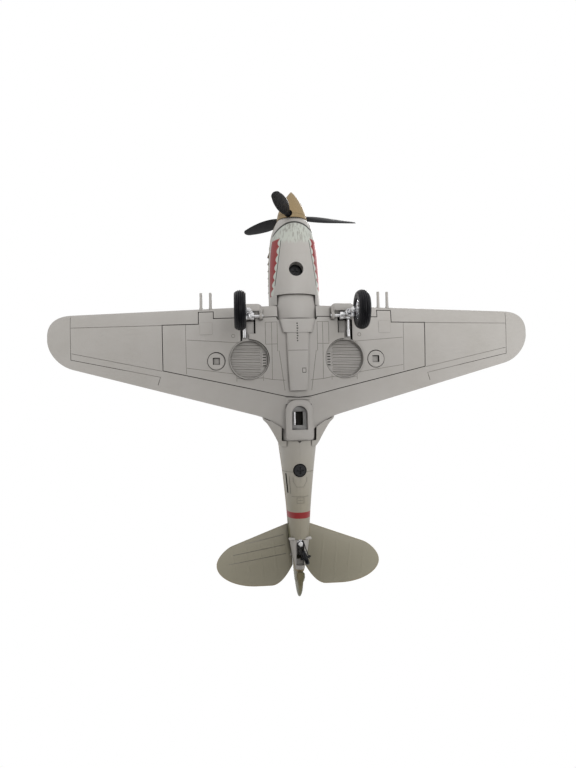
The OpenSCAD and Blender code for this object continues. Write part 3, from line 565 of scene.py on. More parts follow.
def joined(name, objs):
    """Several shells as one object."""
    work = bmesh.new()
    materials = []
    for obj in objs:
        for material in obj.data.materials:
            if material not in materials:
                materials.append(material)
        index = [materials.index(m) for m in obj.data.materials]
        count = len(work.faces)
        work.from_mesh(obj.data)
        work.faces.ensure_lookup_table()
        for face in list(work.faces)[count:]:
            face.material_index = index[face.material_index] if face.material_index < len(index) else 0
        bpy.data.objects.remove(obj)
    mesh = bpy.data.meshes.new(name)
    work.to_mesh(mesh)
    work.free()
    for material in materials:
        mesh.materials.append(material)
    result = bpy.data.objects.new(name, mesh)
    bpy.context.scene.collection.objects.link(result)
    return result


def ease_edges(obj, width):
    """Rounds the crisp edges of a casting a little."""
    step = obj.modifiers.new("ease", "BEVEL")
    step.width, step.segments = width, 2
    step.limit_method, step.angle_limit = "ANGLE", CRISP_ANGLE
    step.use_clamp_overlap = True
    shaped = bpy.data.meshes.new_from_object(obj.evaluated_get(bpy.context.evaluated_depsgraph_get()))
    obj.modifiers.clear()
    obj.data = shaped
    return obj


def place(obj, name, body, nodes=()):
    obj.name = name
    obj.data.name = name
    obj.data.transform(TO_ROW)
    obj.data.shade_smooth()
    obj.data.set_sharp_from_angle(angle=SMOOTH_ANGLE)
    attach(obj, body)
    if nodes:
        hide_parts(*nodes)
    return obj


# ---- curves through a few stations ----
def along(keys, y, column):
    """Smooth value of a column at station y."""
    i = 0
    while i < len(keys) - 2 and y > keys[i + 1][0]:
        i += 1

    def slope(k):
        a, b = keys[max(k - 1, 0)], keys[min(k + 1, len(keys) - 1)]
        return (b[column] - a[column]) / (b[0] - a[0])

    h = keys[i + 1][0] - keys[i][0]
    t = (y - keys[i][0]) / h
    return ((2 * t**3 - 3 * t**2 + 1) * keys[i][column] + (t**3 - 2 * t**2 + t) * h * slope(i)
            + (3 * t**2 - 2 * t**3) * keys[i + 1][column] + (t**3 - t**2) * h * slope(i + 1))


def steps(first, last, size):
    """Even steps from first to last, no longer than size."""
    count = max(1, ceil(abs(last - first) / size))
    return [first + (last - first) * i / count for i in range(count + 1)]


def round_steps(size):
    """Angles once round, no further apart than size."""
    return steps(0, tau, size)[:-1]


def signed(value, power):
    return copysign(abs(value) ** power, value)


# =========================== fuselage ===========================
def rear(f):
    return BELLY_Y + f * (TAIL_POST - BELLY_Y)


BODY_W = 12.4
# station, half-width, top, bottom, height of the widest line
BODY = [(NOSE_Y, 7.4, 7.4, -7.4, 0), (NOSE_Y + 3, 9, 8.4, -12.4, 0), (24, 10.8, 9.4, -14.6, -0.5),
        (33, BODY_W - 0.5, 10.5, -16.3, -1), (44, BODY_W, 11.4, -17.1, -1.5), (56, BODY_W, 12.1, -17.2, -2),
        (66, BODY_W - 0.1, 12.7, -16.8, -2), (75, BODY_W - 0.3, 14.8, -16.5, -2),
        (84, BODY_W - 0.6, 15.8, -16.3, -2), (100, BODY_W - 1.3, 15.8, -15.9, -1.5),
        (113, BODY_W - 2.2, 15.2, -15.3, -1), (BELLY_Y, 9.4, 14, -14.2, -0.5),
        (rear(0.25), 7.5, 12.5, -12.2, 0), (rear(0.5), 6, 11, -9.4, 1), (rear(0.75), 4.8, 9.7, -6.3, 2),
        (TAIL_POST, 2.3, 8.4, -2.4, 3)]
BODY_POWER = 2 / 2.3
BODY_SIDES = 128


def body_point(y, angle, shrink=0.0):
    """A point on the skin; angle 0 is port, 90 degrees is the top."""
    wide, top, low, mid = (along(BODY, y, c) for c in (1, 2, 3, 4))
    up = sin(angle)
    high = (top - shrink - mid) if up > 0 else (mid - low - shrink)
    return ((wide - shrink) * signed(cos(angle), BODY_POWER), y, mid + high * signed(up, BODY_POWER))


def body_ring(y, shrink):
    """Section of the fuselage at station y, its skin drawn in by shrink."""
    return [body_point(y, tau * i / BODY_SIDES, shrink) for i in range(BODY_SIDES)]


def body(shrink=0.0, first=NOSE_Y, last=TAIL_POST, material=None):
    rings = [body_ring(y, shrink) for y in steps(first, last, 1.5)]
    return loft("body", rings, material or PAINT_FUSELAGE)


SPINE = [(COCKPIT_Y[1] + 0.3, 6.9, 20.2), (113, 6.2, 18), (BELLY_Y + 6, 5.2, 15.8), (rear(0.5), 3.4, 12.6),
         (rear(0.8), 2, 10.6)]
SPINE_Z = 8.0


def spine(shrink=0.0, material=None):
    """The raised back behind the cockpit."""
    rings = []
    for y in steps(SPINE[0][0] + shrink, SPINE[-1][0], 1.5):
        w, h = along(SPINE, y, 1) - shrink, along(SPINE, y, 2) - SPINE_Z - shrink
        rings.append([(w * cos(a), y, SPINE_Z + h * sin(a)) for a in round_steps(0.13)])
    return loft("spine", rings, material or PAINT_FUSELAGE)


FIN_Z = 32.8
FIN_ROOT_Z = 8.0


def fin_front(z):
    lean = TAIL_POST - 25 + (z - FIN_ROOT_Z) * 0.9
    u = max(0.0, (z - 26) / (FIN_Z - 26))
    return lean + (TAIL_POST - 1 - lean) * (1 - sqrt(1 - u * u))


def fin_half(z):
    return 1.9 - 1.2 * (z - FIN_ROOT_Z) / (FIN_Z - FIN_ROOT_Z)


def fin(shrink=0.0):
    rings = []
    for z in steps(FIN_ROOT_Z, 26, 1.2) + steps(26, FIN_Z - 0.4, 0.5)[1:]:
        a, b = fin_front(z) + shrink, TAIL_POST - 0.3 - shrink
        rings.append([((fin_half(z) - shrink) * sin(t), a + (b - a) * (1 + cos(t)) / 2, z)
                      for t in round_steps(0.2)])
    return loft("fin", rings, PAINT_FUSELAGE)


RUDDER_LOW = -3.6
RUDDER_MID = 8.0


def rudder_back(z):
    if z > RUDDER_MID:
        u = (z - RUDDER_MID) / (FIN_Z - RUDDER_MID)
        return TAIL_POST + 14.6 * max(0.0, 1 - u**2.3) ** (1 / 2.3)
    u = (RUDDER_MID - z) / (RUDDER_MID - RUDDER_LOW)
    return TAIL_POST + 14.6 * sqrt(max(0.0, 1 - u * u))


def rudder():
    """Fabric-covered rudder: ribs show as low ridges."""
    rings = []
    for z in steps(RUDDER_LOW + 0.1, RUDDER_MID, 0.3) + steps(RUDDER_MID, FIN_Z - 0.35, 0.3)[1:]:
        b = rudder_back(z)
        rib = 0.1 * max(0.0, cos(pi * (z - 1.2) / 1.9)) ** 10
        ring = []
        for t in round_steps(0.12):
            half = max(0.5, min(2, fin_half(max(z, FIN_ROOT_Z - 4)) + 0.1)) * (0.7 if cos(t) > 0 else 1)
            half = half * abs(sin(t)) ** (0.8 if cos(t) > 0 else 0.3) + rib * abs(sin(t))
            ring.append((copysign(half, sin(t)), TAIL_POST + 0.02 + (b - TAIL_POST) * (1 + cos(t)) / 2, z))
        rings.append(ring)
    obj = loft("rudder", rings, PAINT_RUDDER)
    cut(obj, body(-0.05, 150, TAIL_POST + 0.04))
    tab = block((-3, TAIL_POST + 9.6, 6.0), (3, TAIL_POST + 9.6 + LINE_W, 18.0), LINE_AND_GAP_SHADE)
    tab_top = block((-3, TAIL_POST + 9.6, 18.0), (3, TAIL_POST + 20, 18.0 + LINE_W), LINE_AND_GAP_SHADE)
    tab_low = block((-3, TAIL_POST + 9.6, 6.0 - LINE_W), (3, TAIL_POST + 20, 6.0), LINE_AND_GAP_SHADE)
    core = []
    for z in steps(RUDDER_LOW + 0.5, FIN_Z - 1, 1.0):
        half = max(0.2, min(2, fin_half(max(z, FIN_ROOT_Z - 4)) + 0.1) * 0.7 - 0.35)
        reach = rudder_back(z) - TAIL_POST
        core.append([(half * sin(t), TAIL_POST + reach * (0.5 + 0.5 * cos(t)), z)
                     for t in round_steps(0.3)])
    tool = fuse(tab, tab_top, tab_low)
    cut(tool, loft("core", core, LINE_AND_GAP_SHADE))
    return cut(obj, tool)


# Wing root fillet: station, reach, height of its sharp edge, height at the body side
FILLET = [(WING_TE_ROOT - 20, 13.4, -9.4, -7.2), (WING_TE_ROOT - 8, 15.4, -10.2, -6.4),
          (WING_TE_ROOT + 1.5, 16.9, -11, -5.6), (WING_TE_ROOT + 4, 14.8, -10.8, -5.4),
          (WING_TE_ROOT + 7, 12.9, -10.4, -5.4), (WING_TE_ROOT + 10.2, 11.1, -9.8, -5.6),
          (WING_TE_ROOT + 13, 9.7, -9, -6), (WING_TE_ROOT + 15, 8.4, -8.4, -6.4)]
FILLET_IN = 6.0


def root_fillet(side):
    rings = []
    for y in steps(FILLET[0][0], FILLET[-1][0], 0.8):
        reach, edge, top = (along(FILLET, y, c) for c in (1, 2, 3))
        w, dip = reach - FILLET_IN, top - edge
        ring = [(FILLET_IN, y, edge - 3.4), (reach, y, edge - 0.3), (reach + 0.1, y, edge),
                (reach, y, edge + 0.3)]
        ring += [(reach - w * t, y, edge + 0.35 + dip * t * t * 0.9) for t in steps(0.1, 0.9, 0.1)]
        ring.append((FILLET_IN, y, top + 0.4))
        rings.append([(side * px, py, pz) for px, py, pz in ring])
    return loft("fillet", rings, PAINT_FUSELAGE)


def ring_line(y, low=-3.0):
    """A slab that cuts one panel line across the fuselage's back and sides."""
    return block((-20, y, low), (20, y + LINE_W, 30), LINE_AND_GAP_SHADE)


def slit(points, width, low, high, material=None):
    """Upright slabs along a plan line."""
    tools = []
    for (x0, y0), (x1, y1) in zip(points, points[1:]):
        run = Vector((x1 - x0, y1 - y0)).normalized() * width / 2
        tools.append(prism([(x0 - run.x - run.y, y0 - run.y + run.x),
                            (x0 - run.x + run.y, y0 - run.y - run.x),
                            (x1 + run.x + run.y, y1 + run.y - run.x),
                            (x1 + run.x - run.y, y1 + run.y + run.x)], low, high, material or LINE_AND_GAP_SHADE))
    return tools


def side_line(y0, y1, z0, z1):
    """A slab that cuts a lengthwise line on both sides, rising from z0 to z1."""
    h = LINE_W / 2
    ring0 = [(-20, y0, z0 - h), (20, y0, z0 - h), (20, y0, z0 + h), (-20, y0, z0 + h)]
    ring1 = [(-20, y1, z1 - h), (20, y1, z1 - h), (20, y1, z1 + h), (-20, y1, z1 + h)]
    return loft("side line", [ring0, ring1], LINE_AND_GAP_SHADE)


def union_of(tools):
    first, *rest = tools
    return fuse(first, *rest) if rest else first


def tail_plate_outline(grow=0.0):
    a, b = TAIL_POST - 16 - grow, TAIL_POST - 1.2 + grow
    return [(-5 - grow, a), (5 + grow, a), (2.4 + grow, b), (-2.4 - grow, b)]


# The recess round the exhaust plate, its walls near-black as painted shade.
def exhaust_recess(side):
    x = (BODY_W - 2.2 - SEAM, BODY_W + 4)
    return block((min(side * x[0], side * x[1]), EXHAUST_Y[0] - SEAM, EXHAUST_Z[0] - SEAM),
                 (max(side * x[0], side * x[1]), EXHAUST_Y[1] + SEAM, EXHAUST_Z[1] + SEAM), LINE_AND_GAP_SHADE)


def quarter_window(grow=0.0):
    outline = [(98 - grow, 14.6 - grow), (111.5 + grow * 2, 15 - grow), (107 + grow, 17.4 + grow),
               (98 - grow, 18.6 + grow)]
    return loft("window", [[(x, y, z) for y, z in outline] for x in (-15.0, 15.0)], PAINT_FUSELAGE)


UNDER_TAIL_LINES = [
    [(-3.2, 140.4), (-3.2, 142.2), (-1.6, 144.9), (1.6, 144.9), (3.2, 142.2), (3.2, 140.4)],
    [(-3.8, 149.5), (3.8, 149.5)], [(-1.5, 150.1), (1.8, 150.1), (1.8, 152.7), (-1.5, 152.7), (-1.5, 150.1)],
    [(-0.9, 151.4), (1.2, 151.4)], [(-4.9, 140), (-4.3, 148.2)]]
TONGUE_SEAM = [(16.0, 112.3), (13.7, 113.4), (9.0, 114.2), (8.05, 116.5), (8.05, 122.6), (9.7, 123.4)]


def fuselage_halves():
    """The two cast halves, engraved, hollow and open for what they hold."""
    shell = fuse(body(), spine(), fin(), root_fillet(1), root_fillet(-1))
    lines = [ring_line(y) for y in (21.0, 27.0, 52.6, 60.5, 69.0, 97.6, 116.0, 129.5, 149.4, 163.5, 173.0)]
    lines.append(ring_line(137.6, -24.0))
    for marks in UNDER_TAIL_LINES:
        lines += slit(marks, LINE_W, -24, 0, FAINT_LINE_AND_SHADOW)
    lines += [side_line(21, 27, 4.6, 5.0), side_line(27, 69, 6.3, 8.6), side_line(27, 69, -3.0, -3.4),
              side_line(69, 97.6, 4.6, 5.4), side_line(97.6, 163.5, 6.6, 6.2),
              side_line(97.6, 163.5, -4.0, -0.6), side_line(116, 149.4, 1.4, 2.6)]
    grooves = union_of(lines)
    fin_core = fuse(body(LINE_DEEP, NOSE_Y + 0.4, TAIL_POST - 0.4), spine(LINE_DEEP), fin(-0.6))
    cut(grooves, fin_core)
    cut(shell, grooves)
    cut(shell, *slit([(-6.3, 138.9), (-5.5, 147.8)], 0.5, -12, -1.5))
    for side in SIDES.values():
        cut(shell, union_of(slit([(side * x, y) for x, y in TONGUE_SEAM], 0.3, -24, -11.1)))
    inner = body(WALL, NOSE_Y + 1.5, TAIL_POST - 6)
    for y, r, low, high in ((SCREW_REAR_Y, 3.7, -15, -4), (SCREW_FRONT_Y, 3.5, -16, 12)):
        cut(inner, drill(0, y, low, high, r, PAINT_FUSELAGE))
    room = block((-10, 96.5, 1), (10, 115.5, 21), PAINT_FUSELAGE)
    within(room, spine(1.4))
    tongue = TONGUE_W + SEAM
    # the near-black and black faces these tools leave in the chin seam, tongue gap, tail slots, nose hole,
    # exhaust recesses and screw holes are painted shade
    cut(shell, inner, room, wing_body(low=-14, high=SEAM),
        block((-30, CHIN_Y[0] - SEAM, -44), (30, CHIN_Y[1] + 0.02, CHIN_Z), LINE_AND_GAP_SHADE),
        block((-FLAP_W - 0.1, CHIN_Y[1] - 1, -44), (FLAP_W + 0.1, FLAP_Y + SEAM, CHIN_Z), PAINT_GREY),
        block((-tongue, FLAP_Y - SEAM, -30), (tongue, BELLY_Y + SEAM, -10), LINE_AND_GAP_SHADE),
        block((-SILL_W, COCKPIT_Y[0], SILL_Z), (SILL_W, COCKPIT_Y[1], SILL_Z + 30), PAINT_UPPER),
        block((-5.9, 76.9, -3), (5.9, 95.6, 17), COCKPIT_GREEN), quarter_window(SEAM),
        block((-15, TAIL_TAB_Y[0] - SEAM, TAIL_Z - 0.95), (15, TAIL_TAB_Y[1] + SEAM, TAIL_Z + 0.95),
              LINE_AND_GAP_SHADE), prism(tail_plate_outline(SEAM), -12, -1, PAINT_GREY),
        rod("nose hole", (0, NOSE_Y - 4, 0), (0, NOSE_Y + 9, 0), 3.1, LINE_AND_GAP_SHADE, ease=0), exhaust_recess(1),
        exhaust_recess(-1), block((6.35, 95, SILL_Z), (SILL_W, 112.5, SILL_Z + 10), PAINT_UPPER),
        block((-SILL_W, 95, SILL_Z), (-6.35, 112.5, SILL_Z + 10), PAINT_UPPER),
        drill(0, CASTER_Y, -8, 0, 1.85), drill(0, SCREW_REAR_Y, -20, -5, 1.25),
        drill(0, SCREW_REAR_Y, -20, SCREW_SEAT_Z, 3.2, BLACK_PLASTIC_AND_HOLE_SHADE), drill(0, SCREW_FRONT_Y, -20, 0, 1.25))
    for side_name, side in SIDES.items():
        half = copy_of(shell)
        x = (0.01, 60) if side > 0 else (-60, -0.01)
        within(half, block((x[0], -10, -60), (x[1], 250, 60), LINE_AND_GAP_SHADE))
        place(half, "fuselage_skin_" + side_name, "airframe", ["fuselage_" + side_name])
    bpy.data.objects.remove(shell)


# =========================== wing ===========================
def wing_front(x):
    u = max(0.0, (x - TIP_X) / TIP_LEN)
    return TIP_Y - (TIP_Y - WING_LE - 0.0225 * x) * (1 - u**2.5) ** 0.4


def wing_back(x):
    straight = WING_TE_ROOT + (WING_TE_TIP - WING_TE_ROOT) * (x - ROOT_X) / (TIP_X - ROOT_X)
    if x < ROOT_X:
        straight += 8 * ((ROOT_X - x) / ROOT_X) ** 2
    u = max(0.0, (x - TIP_X) / TIP_LEN)
    return TIP_Y + (straight - TIP_Y) * (1 - u**2.2) ** (1 / 2.2)


WING_SIDES = 96


def foil(s):
    """Half thickness of a symmetric wing section of unit thickness at the share s of its chord."""
    return 5 * (0.2969 * sqrt(s) - 0.126 * s - 0.3516 * s**2 + 0.2843 * s**3 - 0.1036 * s**4)


def wing_thick(x):
    """Thickness over chord, thinner toward the tip."""
    return 0.155 + (0.1 - 0.155) * x / (SPAN / 2)


def wing_z(x):
    return WING_Z + abs(x) * DIHEDRAL


def wing_ring(x, low, high, trim):
    """Section of the wing; low and high move its under and upper skins, trim draws its edges in."""
    a = abs(x)
    front = wing_front(a) + trim
    chord = wing_back(a) - trim - front
    thick = wing_thick(a)
    ring = []
    for i in range(WING_SIDES):
        t = tau * i / WING_SIDES
        s, up = (1 + cos(t)) / 2, sin(t)
        z = wing_z(a) + 0.072 * chord * s * (1 - s)
        if abs(up) > 0.01:
            z += copysign(foil(s) * chord * thick + 0.2 * s, up) + (high if up > 0 else low)
        ring.append((x, front + chord * s, z))
    return ring


def wing_body(low=0.0, high=0.0, trim=0.0, material=None):
    tip = [TIP_X + u * TIP_LEN for u in (0.993, 0.975, 0.95, 0.91, 0.87, 0.81, 0.75, 0.65, 0.55, 0.42, 0.3,
                                         0.15, 0)]
    half = tip + steps(TIP_X, ROOT_X, 2.2)[1:] + steps(ROOT_X, 2.5, 2.5)[1:]
    xs = half + [0] + [-x for x in reversed(half)]
    return loft("wing", [wing_ring(x, low, high, trim) for x in xs], material or PAINT_WING)


def wing_skin(x, y):
    """Height of the wing's under skin."""
    chord = wing_back(x) - wing_front(x)
    s, thick = (y - wing_front(x)) / chord, wing_thick(x)
    return wing_z(x) + 0.072 * chord * s * (1 - s) - foil(s) * chord * thick - 0.2 * s


def stroke(points, side, material):
    """Thin upright prisms along a plan line, reaching from the wing's middle out through one skin."""
    tools = []
    for (x0, y0), (x1, y1) in zip(points, points[1:]):
        run = Vector((x1 - x0, y1 - y0)).normalized() * LINE_W / 2
        nx, ny = -run.y, run.x
        rings = []
        for x, y in ((x0 - run.x, y0 - run.y), (x1 + run.x, y1 + run.y)):
            z0, z1 = wing_z(x) + side * 0.4, wing_z(x) + side * 8
            rings.append([(x + nx, y + ny, z0), (x - nx, y - ny, z0), (x - nx, y - ny, z1),
                          (x + nx, y + ny, z1)])
        tools.append(loft("stroke", rings, material))
    return tools


def both_wings(points):
    """The same plan line on both wings."""
    return [points, [(-x, y) for x, y in points]]


def circle_line(x, y, r, count):
    angles = [tau * i / count for i in range(count + 1)]
    return [(x + r * cos(a), y + r * sin(a)) for a in angles]


BELLY_TOP = -15.4
PANEL_X = 63.4
PANEL_GAP = 0.36
PANEL_HALF = [(0, FLAP_Y), (FLAP_W, FLAP_Y), (FLAP_W + 0.4, 64.7), (38.9, 64.7), (38.9, 61.4), (46.3, 61.4),
              (46.3, 67.2), (PANEL_X, 67.2), (PANEL_X, 89), (20, 99), (6, 102.4), (0, 103)]


def panel_prism(grow=0.0):
    """The lower panel's outline, both halves, each edge moved out by grow."""
    half = PANEL_HALF[1:-1]
    ring = [(x, y) for x, y in PANEL_HALF] + [(-x, y) for x, y in reversed(half)]
    moved = []
    for i, (x, y) in enumerate(ring):
        (ax, ay), (bx, by) = ring[i - 1], ring[(i + 1) % len(ring)]
        u, v = Vector((x - ax, y - ay)).normalized(), Vector((bx - x, by - y)).normalized()
        nu, nv = Vector((u.y, -u.x)), Vector((v.y, -v.x))
        bend = max(0.3, 1 + nu.dot(nv))
        shift = (nu + nv) * grow / bend
        moved.append((x + shift.x, y + shift.y))
    return prism(moved, -30.0, 10.0, LINE_AND_GAP_SHADE)


def channel_tool(side, low, high):
    """Slot ahead of the well where the leg and its rod lie."""
    a = block((LEG_X - 3.15, 60.85, low), (LEG_X + 3.95, 72.55, high), LINE_AND_GAP_SHADE)
    b = block((LEG_X - 0.15, 68, low), (LEG_X + 3.95, 76.35, high), LINE_AND_GAP_SHADE)
    return mirrored(fuse(a, b), side)


def fairing_pod(grow, side):
    """Rounded knuckle over the leg's hinge at the leading edge."""
    r = 2.6 + grow
    rings = []
    for t in steps(-pi / 2, pi / 2, 0.15)[1:-1]:
        x = (18.6 if t < 0 else 25) + r * sin(t)
        q = r * cos(t)
        rings.append([(side * x, 61.4 + q * cos(a), -14.6 + q * sin(a)) for a in round_steps(0.2)])
    return loft("pod", rings, PAINT_GREY)


def fairing_block(grow, side):
    """What the knuckle fairing fills: the pod and its two cheeks."""
    pod = fairing_pod(grow, side)
    cheeks = [block((16.2 - grow, 60.6 - grow, -16.4), (17.6 + grow, 66.2 + grow, -10.4), PAINT_GREY),
              block((25.2 - grow, 60.6 - grow, -16.4), (26.5 + grow, 66.2 + grow, -10.4), PAINT_GREY)]
    return fuse(pod, *[mirrored(c, side) for c in cheeks])


OUTER_LINES = [
    [(63.4, 67.5), (106.7, 67.5)], [(106.9, 62.5), (106.9, 85.7)], [(63.7, 89), (106.3, 79.7)],
    [(66.5, 97.9), (64.5, 91.8), (106.7, 82.7)], [(106.9, 84.6), (103.4, 87.6)]]
INNER_LINES = [[(52.2, 67.4), (52.2, 90.6)], [(51.6, 74.7), (27.9, 76.6)], [(51.8, 87.9), (28.9, 91.3)],
               circle_line(29.9, 73.4, 0.8, 12), [(9.4, 77.7), (14.9, 77.7), (14.9, 67.4), (9.4, 67.4)],
               [(12.0, 67.4), (12.0, 94.2)], [(9.4, 67.4), (9.4, 81.0)],
               [(6.2, 94.7), (12.0, 94.2), (17.0, 93.2)], [(16.2, 92.4), (16.2, 94.6)],
               [(28.6, 92.4), (28.6, 94.6)], [(16.4, 93.4), (28.5, 93.4)], [(8.7, 80.9), (6.3, 99.4)]]
TOP_LINES = [
    [(13, 70.5), (106.7, 70.5)], [(106.9, 62.5), (106.9, 85.7)], [(18, 99.4), (63.7, 89.2), (106.3, 79.9)],
    [(66.5, 97.9), (64.5, 91.8), (106.7, 82.7)], [(30, 70.5), (30, 96.6)], [(52.2, 62), (52.2, 91.6)],
    [(75, 70.5), (75, 86.6)], [(91, 70.5), (91, 83)], [(64.5, 91.8), (20, 101.6)],
    [(36, 64), (50, 64), (50, 70.5)], [(36, 64), (36, 80), (50, 80), (50, 70.5)]]


def engrave_wing(obj, *groups, deep=LINE_DEEP):
    """Cuts panel lines into a wing piece: groups are skin (-1 under, 1 over), lines and their colour."""
    tools = []
    for side, lines, material in groups:
        for line in lines:
            for twin in both_wings(line):
                tools += stroke(twin, side, material)
    grooves = union_of(tools)
    cut(grooves, wing_body(deep, -LINE_DEEP, LINE_DEEP, FAINT_LINE_AND_SHADOW))
    return cut(obj, grooves)


def wing_upper():
    """The main wing casting: both outer panels, the whole upper skin and the tongue under the belly."""
    tongue = block((-TONGUE_W, 103, -22), (TONGUE_W, BELLY_Y, -10), PAINT_GREY)
    within(tongue, body(0, 90, 140, material=PAINT_GREY))
    obj = fuse(wing_body(), tongue)
    engrave_wing(obj, (-1, OUTER_LINES, LINE_AND_GAP_SHADE), (1, TOP_LINES, LINE_AND_GAP_SHADE))
    # the near-black walls of the panel's gap, the leg channels, gun holes and the clip's pocket and slot are
    # painted shade
    pocket = panel_prism()
    within(pocket, wing_body(-14, -1.3, 0, LINE_AND_GAP_SHADE))
    cut(obj, pocket, block((-FLAP_W - SEAM, 50, -32), (FLAP_W + SEAM, FLAP_Y + SEAM, 8), PAINT_GREY))
    for side in SIDES.values():
        cut(obj, channel_tool(side, -30, CHANNEL_Z), fairing_block(SEAM, side))
        cut(obj, *[rod("gun hole", (side * x, 56, wing_z(x)), (side * x, 61.35, wing_z(x)), 1.05, LINE_AND_GAP_SHADE,
                       ease=0) for x in GUN_XS])
    cut(obj, block((-PAD_W / 2 - SEAM, PAD_Y[0] - SEAM, -24), (PAD_W / 2 + SEAM, PAD_Y[1] + SEAM, PAD_TOP),
                   PAINT_GREY), block((-CLIP_HALF[0] - SEAM, CLIP_Y - CLIP_HALF[1] - SEAM, PAD_TOP - 1),
                                      (CLIP_HALF[0] + SEAM, CLIP_Y + CLIP_HALF[1] + SEAM, PAD_TOP + 1.55),
                                      LINE_AND_GAP_SHADE), block((-2.2, CLIP_Y - 3.4, PAD_TOP - 0.5),
                                                        (2.2, CLIP_Y + 3.4, PAD_TOP + 4), LINE_AND_GAP_SHADE))
    place(obj, "wing_casting", "airframe", ["wing_upper"])


def rounded_bar(keys, power):
    """A low fairing with rounded shoulders: keys are station, half-width and depth of its face."""
    rings = []
    for y in steps(keys[0][0], keys[-1][0], 0.8):
        w, low = along(keys, y, 1), along(keys, y, 2)
        ring = [(w * signed(cos(a), power), y, BELLY_TOP + (low - BELLY_TOP) * signed(sin(a), power))
                for a in steps(0, pi, pi / 20)]
        rings.append(ring)
    return loft("fairing", rings, PAINT_GREY)


def wing_lower():
    """The inset lower panel with its belly fairing, keel, engraved lines and openings."""
    skin = panel_prism(-PANEL_GAP)
    skin.data.materials[0] = PAINT_GREY
    within(skin, wing_body(material=PAINT_GREY))
    engrave_wing(skin, (-1, INNER_LINES, FAINT_LINE_AND_SHADOW), deep=0.06)
    cut(skin, wing_body(1.6, 14, 0, PAINT_GREY))
    belly = rounded_bar([(66.3, 8.3, -17.5), (69.5, 7.5, -17.5), (72.6, 6.7, -17.5)], 0.22)
    keel = rounded_bar([(72.4, 5.4, -17.25), (86, 4.9, -17.2), (99.6, 4.15, -17.1)], 0.3)
    obj = fuse(skin, belly, keel)
    marks = [block((-5.2, 80.9, -17.6), (5.2, 81.05, -17.05), LINE_AND_GAP_SHADE),
             block((1.9, 89.2, -17.6), (3.4, 89.45, -17.05), LINE_AND_GAP_SHADE),
             block((1.9, 91.2, -17.6), (3.4, 91.45, -17.05), LINE_AND_GAP_SHADE),
             block((1.75, 89.2, -17.6), (1.95, 91.45, -17.08), LINE_AND_GAP_SHADE),
             block((3.35, 89.2, -17.6), (3.55, 91.45, -17.08), LINE_AND_GAP_SHADE)]
    marks += [block((-0.55 + 0.12 * (i % 2), 68.2 + 1.15 * i, -17.7),
                    (0.05 + 0.1 * (i % 3), 68.75 + 1.15 * i, -17.2), LINE_AND_GAP_SHADE) for i in range(8)]
    cut(obj, *marks)
    for side in SIDES.values():
        plate = block((side * 42.6 - 2.85, 66.8, -16), (side * 42.6 + 2.85, 72.4, -8), PAINT_GREY)
        within(plate, wing_body(-0.13, 0, 0, PAINT_GREY))
        cut(plate, wing_body(0.8, 14, 0, PAINT_GREY))
        fuse(obj, plate)
        # the well and socket openings take near-black walls: painted shade
        cut(obj, drill(side * LEG_X, WELL_Y, -30, 10, WELL_R + WELL_WALL + SEAM, n=96),
            channel_tool(side, -30, 0), fairing_block(SEAM, side),
            drill(side * JACK[0], JACK[1], -30, 10, JACK_D / 2 + SEAM, n=64))
    place(obj, "wing_panel", "airframe", ["wing_lower"])


def wheel_well(side_name, side):
    """Cast cup for the folded wheel: cross ribs, each with a painted shadow beside it, an inboard gear box
    and a tray for the leg.
    """
    outer, floor = WELL_R + WELL_WALL, WELL_FLOOR_Z + 0.3
    low = -12.9
    profile = [(0, floor), (WELL_R - 0.3, floor), (WELL_R, floor - 0.3), (WELL_R, low + 0.08),
               (WELL_R + 0.08, low), (outer - 0.08, low), (outer, low + 0.08), (outer, floor + 0.4),
               (0, floor + 0.4)]
    cup = turned("cup", profile, (LEG_X, WELL_Y, 0), UP, PAINT_GREY, 96)
    parts = []
    for i in range(-5, 6):
        y = 1.62 * i
        reach = sqrt(max(0.5, (WELL_R - 0.2) ** 2 - y * y))
        inner = max(-reach, -5.2)
        rib = loft("rib", [[(x, WELL_Y + y - 0.34, floor + 0.1), (x, WELL_Y + y - 0.2, WELL_FLOOR_Z),
                            (x, WELL_Y + y + 0.2, WELL_FLOOR_Z), (x, WELL_Y + y + 0.34, floor + 0.1)]
                           for x in (LEG_X + inner, LEG_X + reach)], PAINT_GREY)
        parts.append(rib)
        # a dark strip on the floor beside each rib: the rib's painted shadow
        parts.append(block((LEG_X + inner, WELL_Y + y - 0.62, floor - 0.04),
                           (LEG_X + reach, WELL_Y + y - 0.3, floor + 0.1), FAINT_LINE_AND_SHADOW))
    parts.append(block((LEG_X - 8.4, WELL_Y - 3.4, WELL_FLOOR_Z), (LEG_X - 5.9, WELL_Y + 3.2, floor + 0.2),
                       PAINT_GREY))
    fuse(cup, *parts)
    # slots in the gear box, their walls near-black as painted shade
    for i in range(5):
        y = WELL_Y - 2.6 + 1.3 * i
        cut(cup, block((LEG_X - 7.9, y, WELL_FLOOR_Z - 0.1), (LEG_X - 6.4, y + 0.45, WELL_FLOOR_Z + 0.25),
                       LINE_AND_GAP_SHADE))
    tray = block((LEG_X - 2.4, 66.6, CHANNEL_Z - 0.4), (LEG_X + 3.2, WELL_Y - WELL_R + 0.1, CHANNEL_Z + 0.2),
                 PAINT_GREY)
    cut(cup, block((LEG_X - 2.2, WELL_Y - WELL_R - 1.5, -14),
                   (LEG_X + 3.0, WELL_Y - WELL_R + 1.5, CHANNEL_Z - 0.45), PAINT_GREY))
    obj = mirrored(joined("well", [cup, tray]), side)
    place(obj, "wheel_bay_" + side_name, "airframe", ["wheel_well_" + side_name])


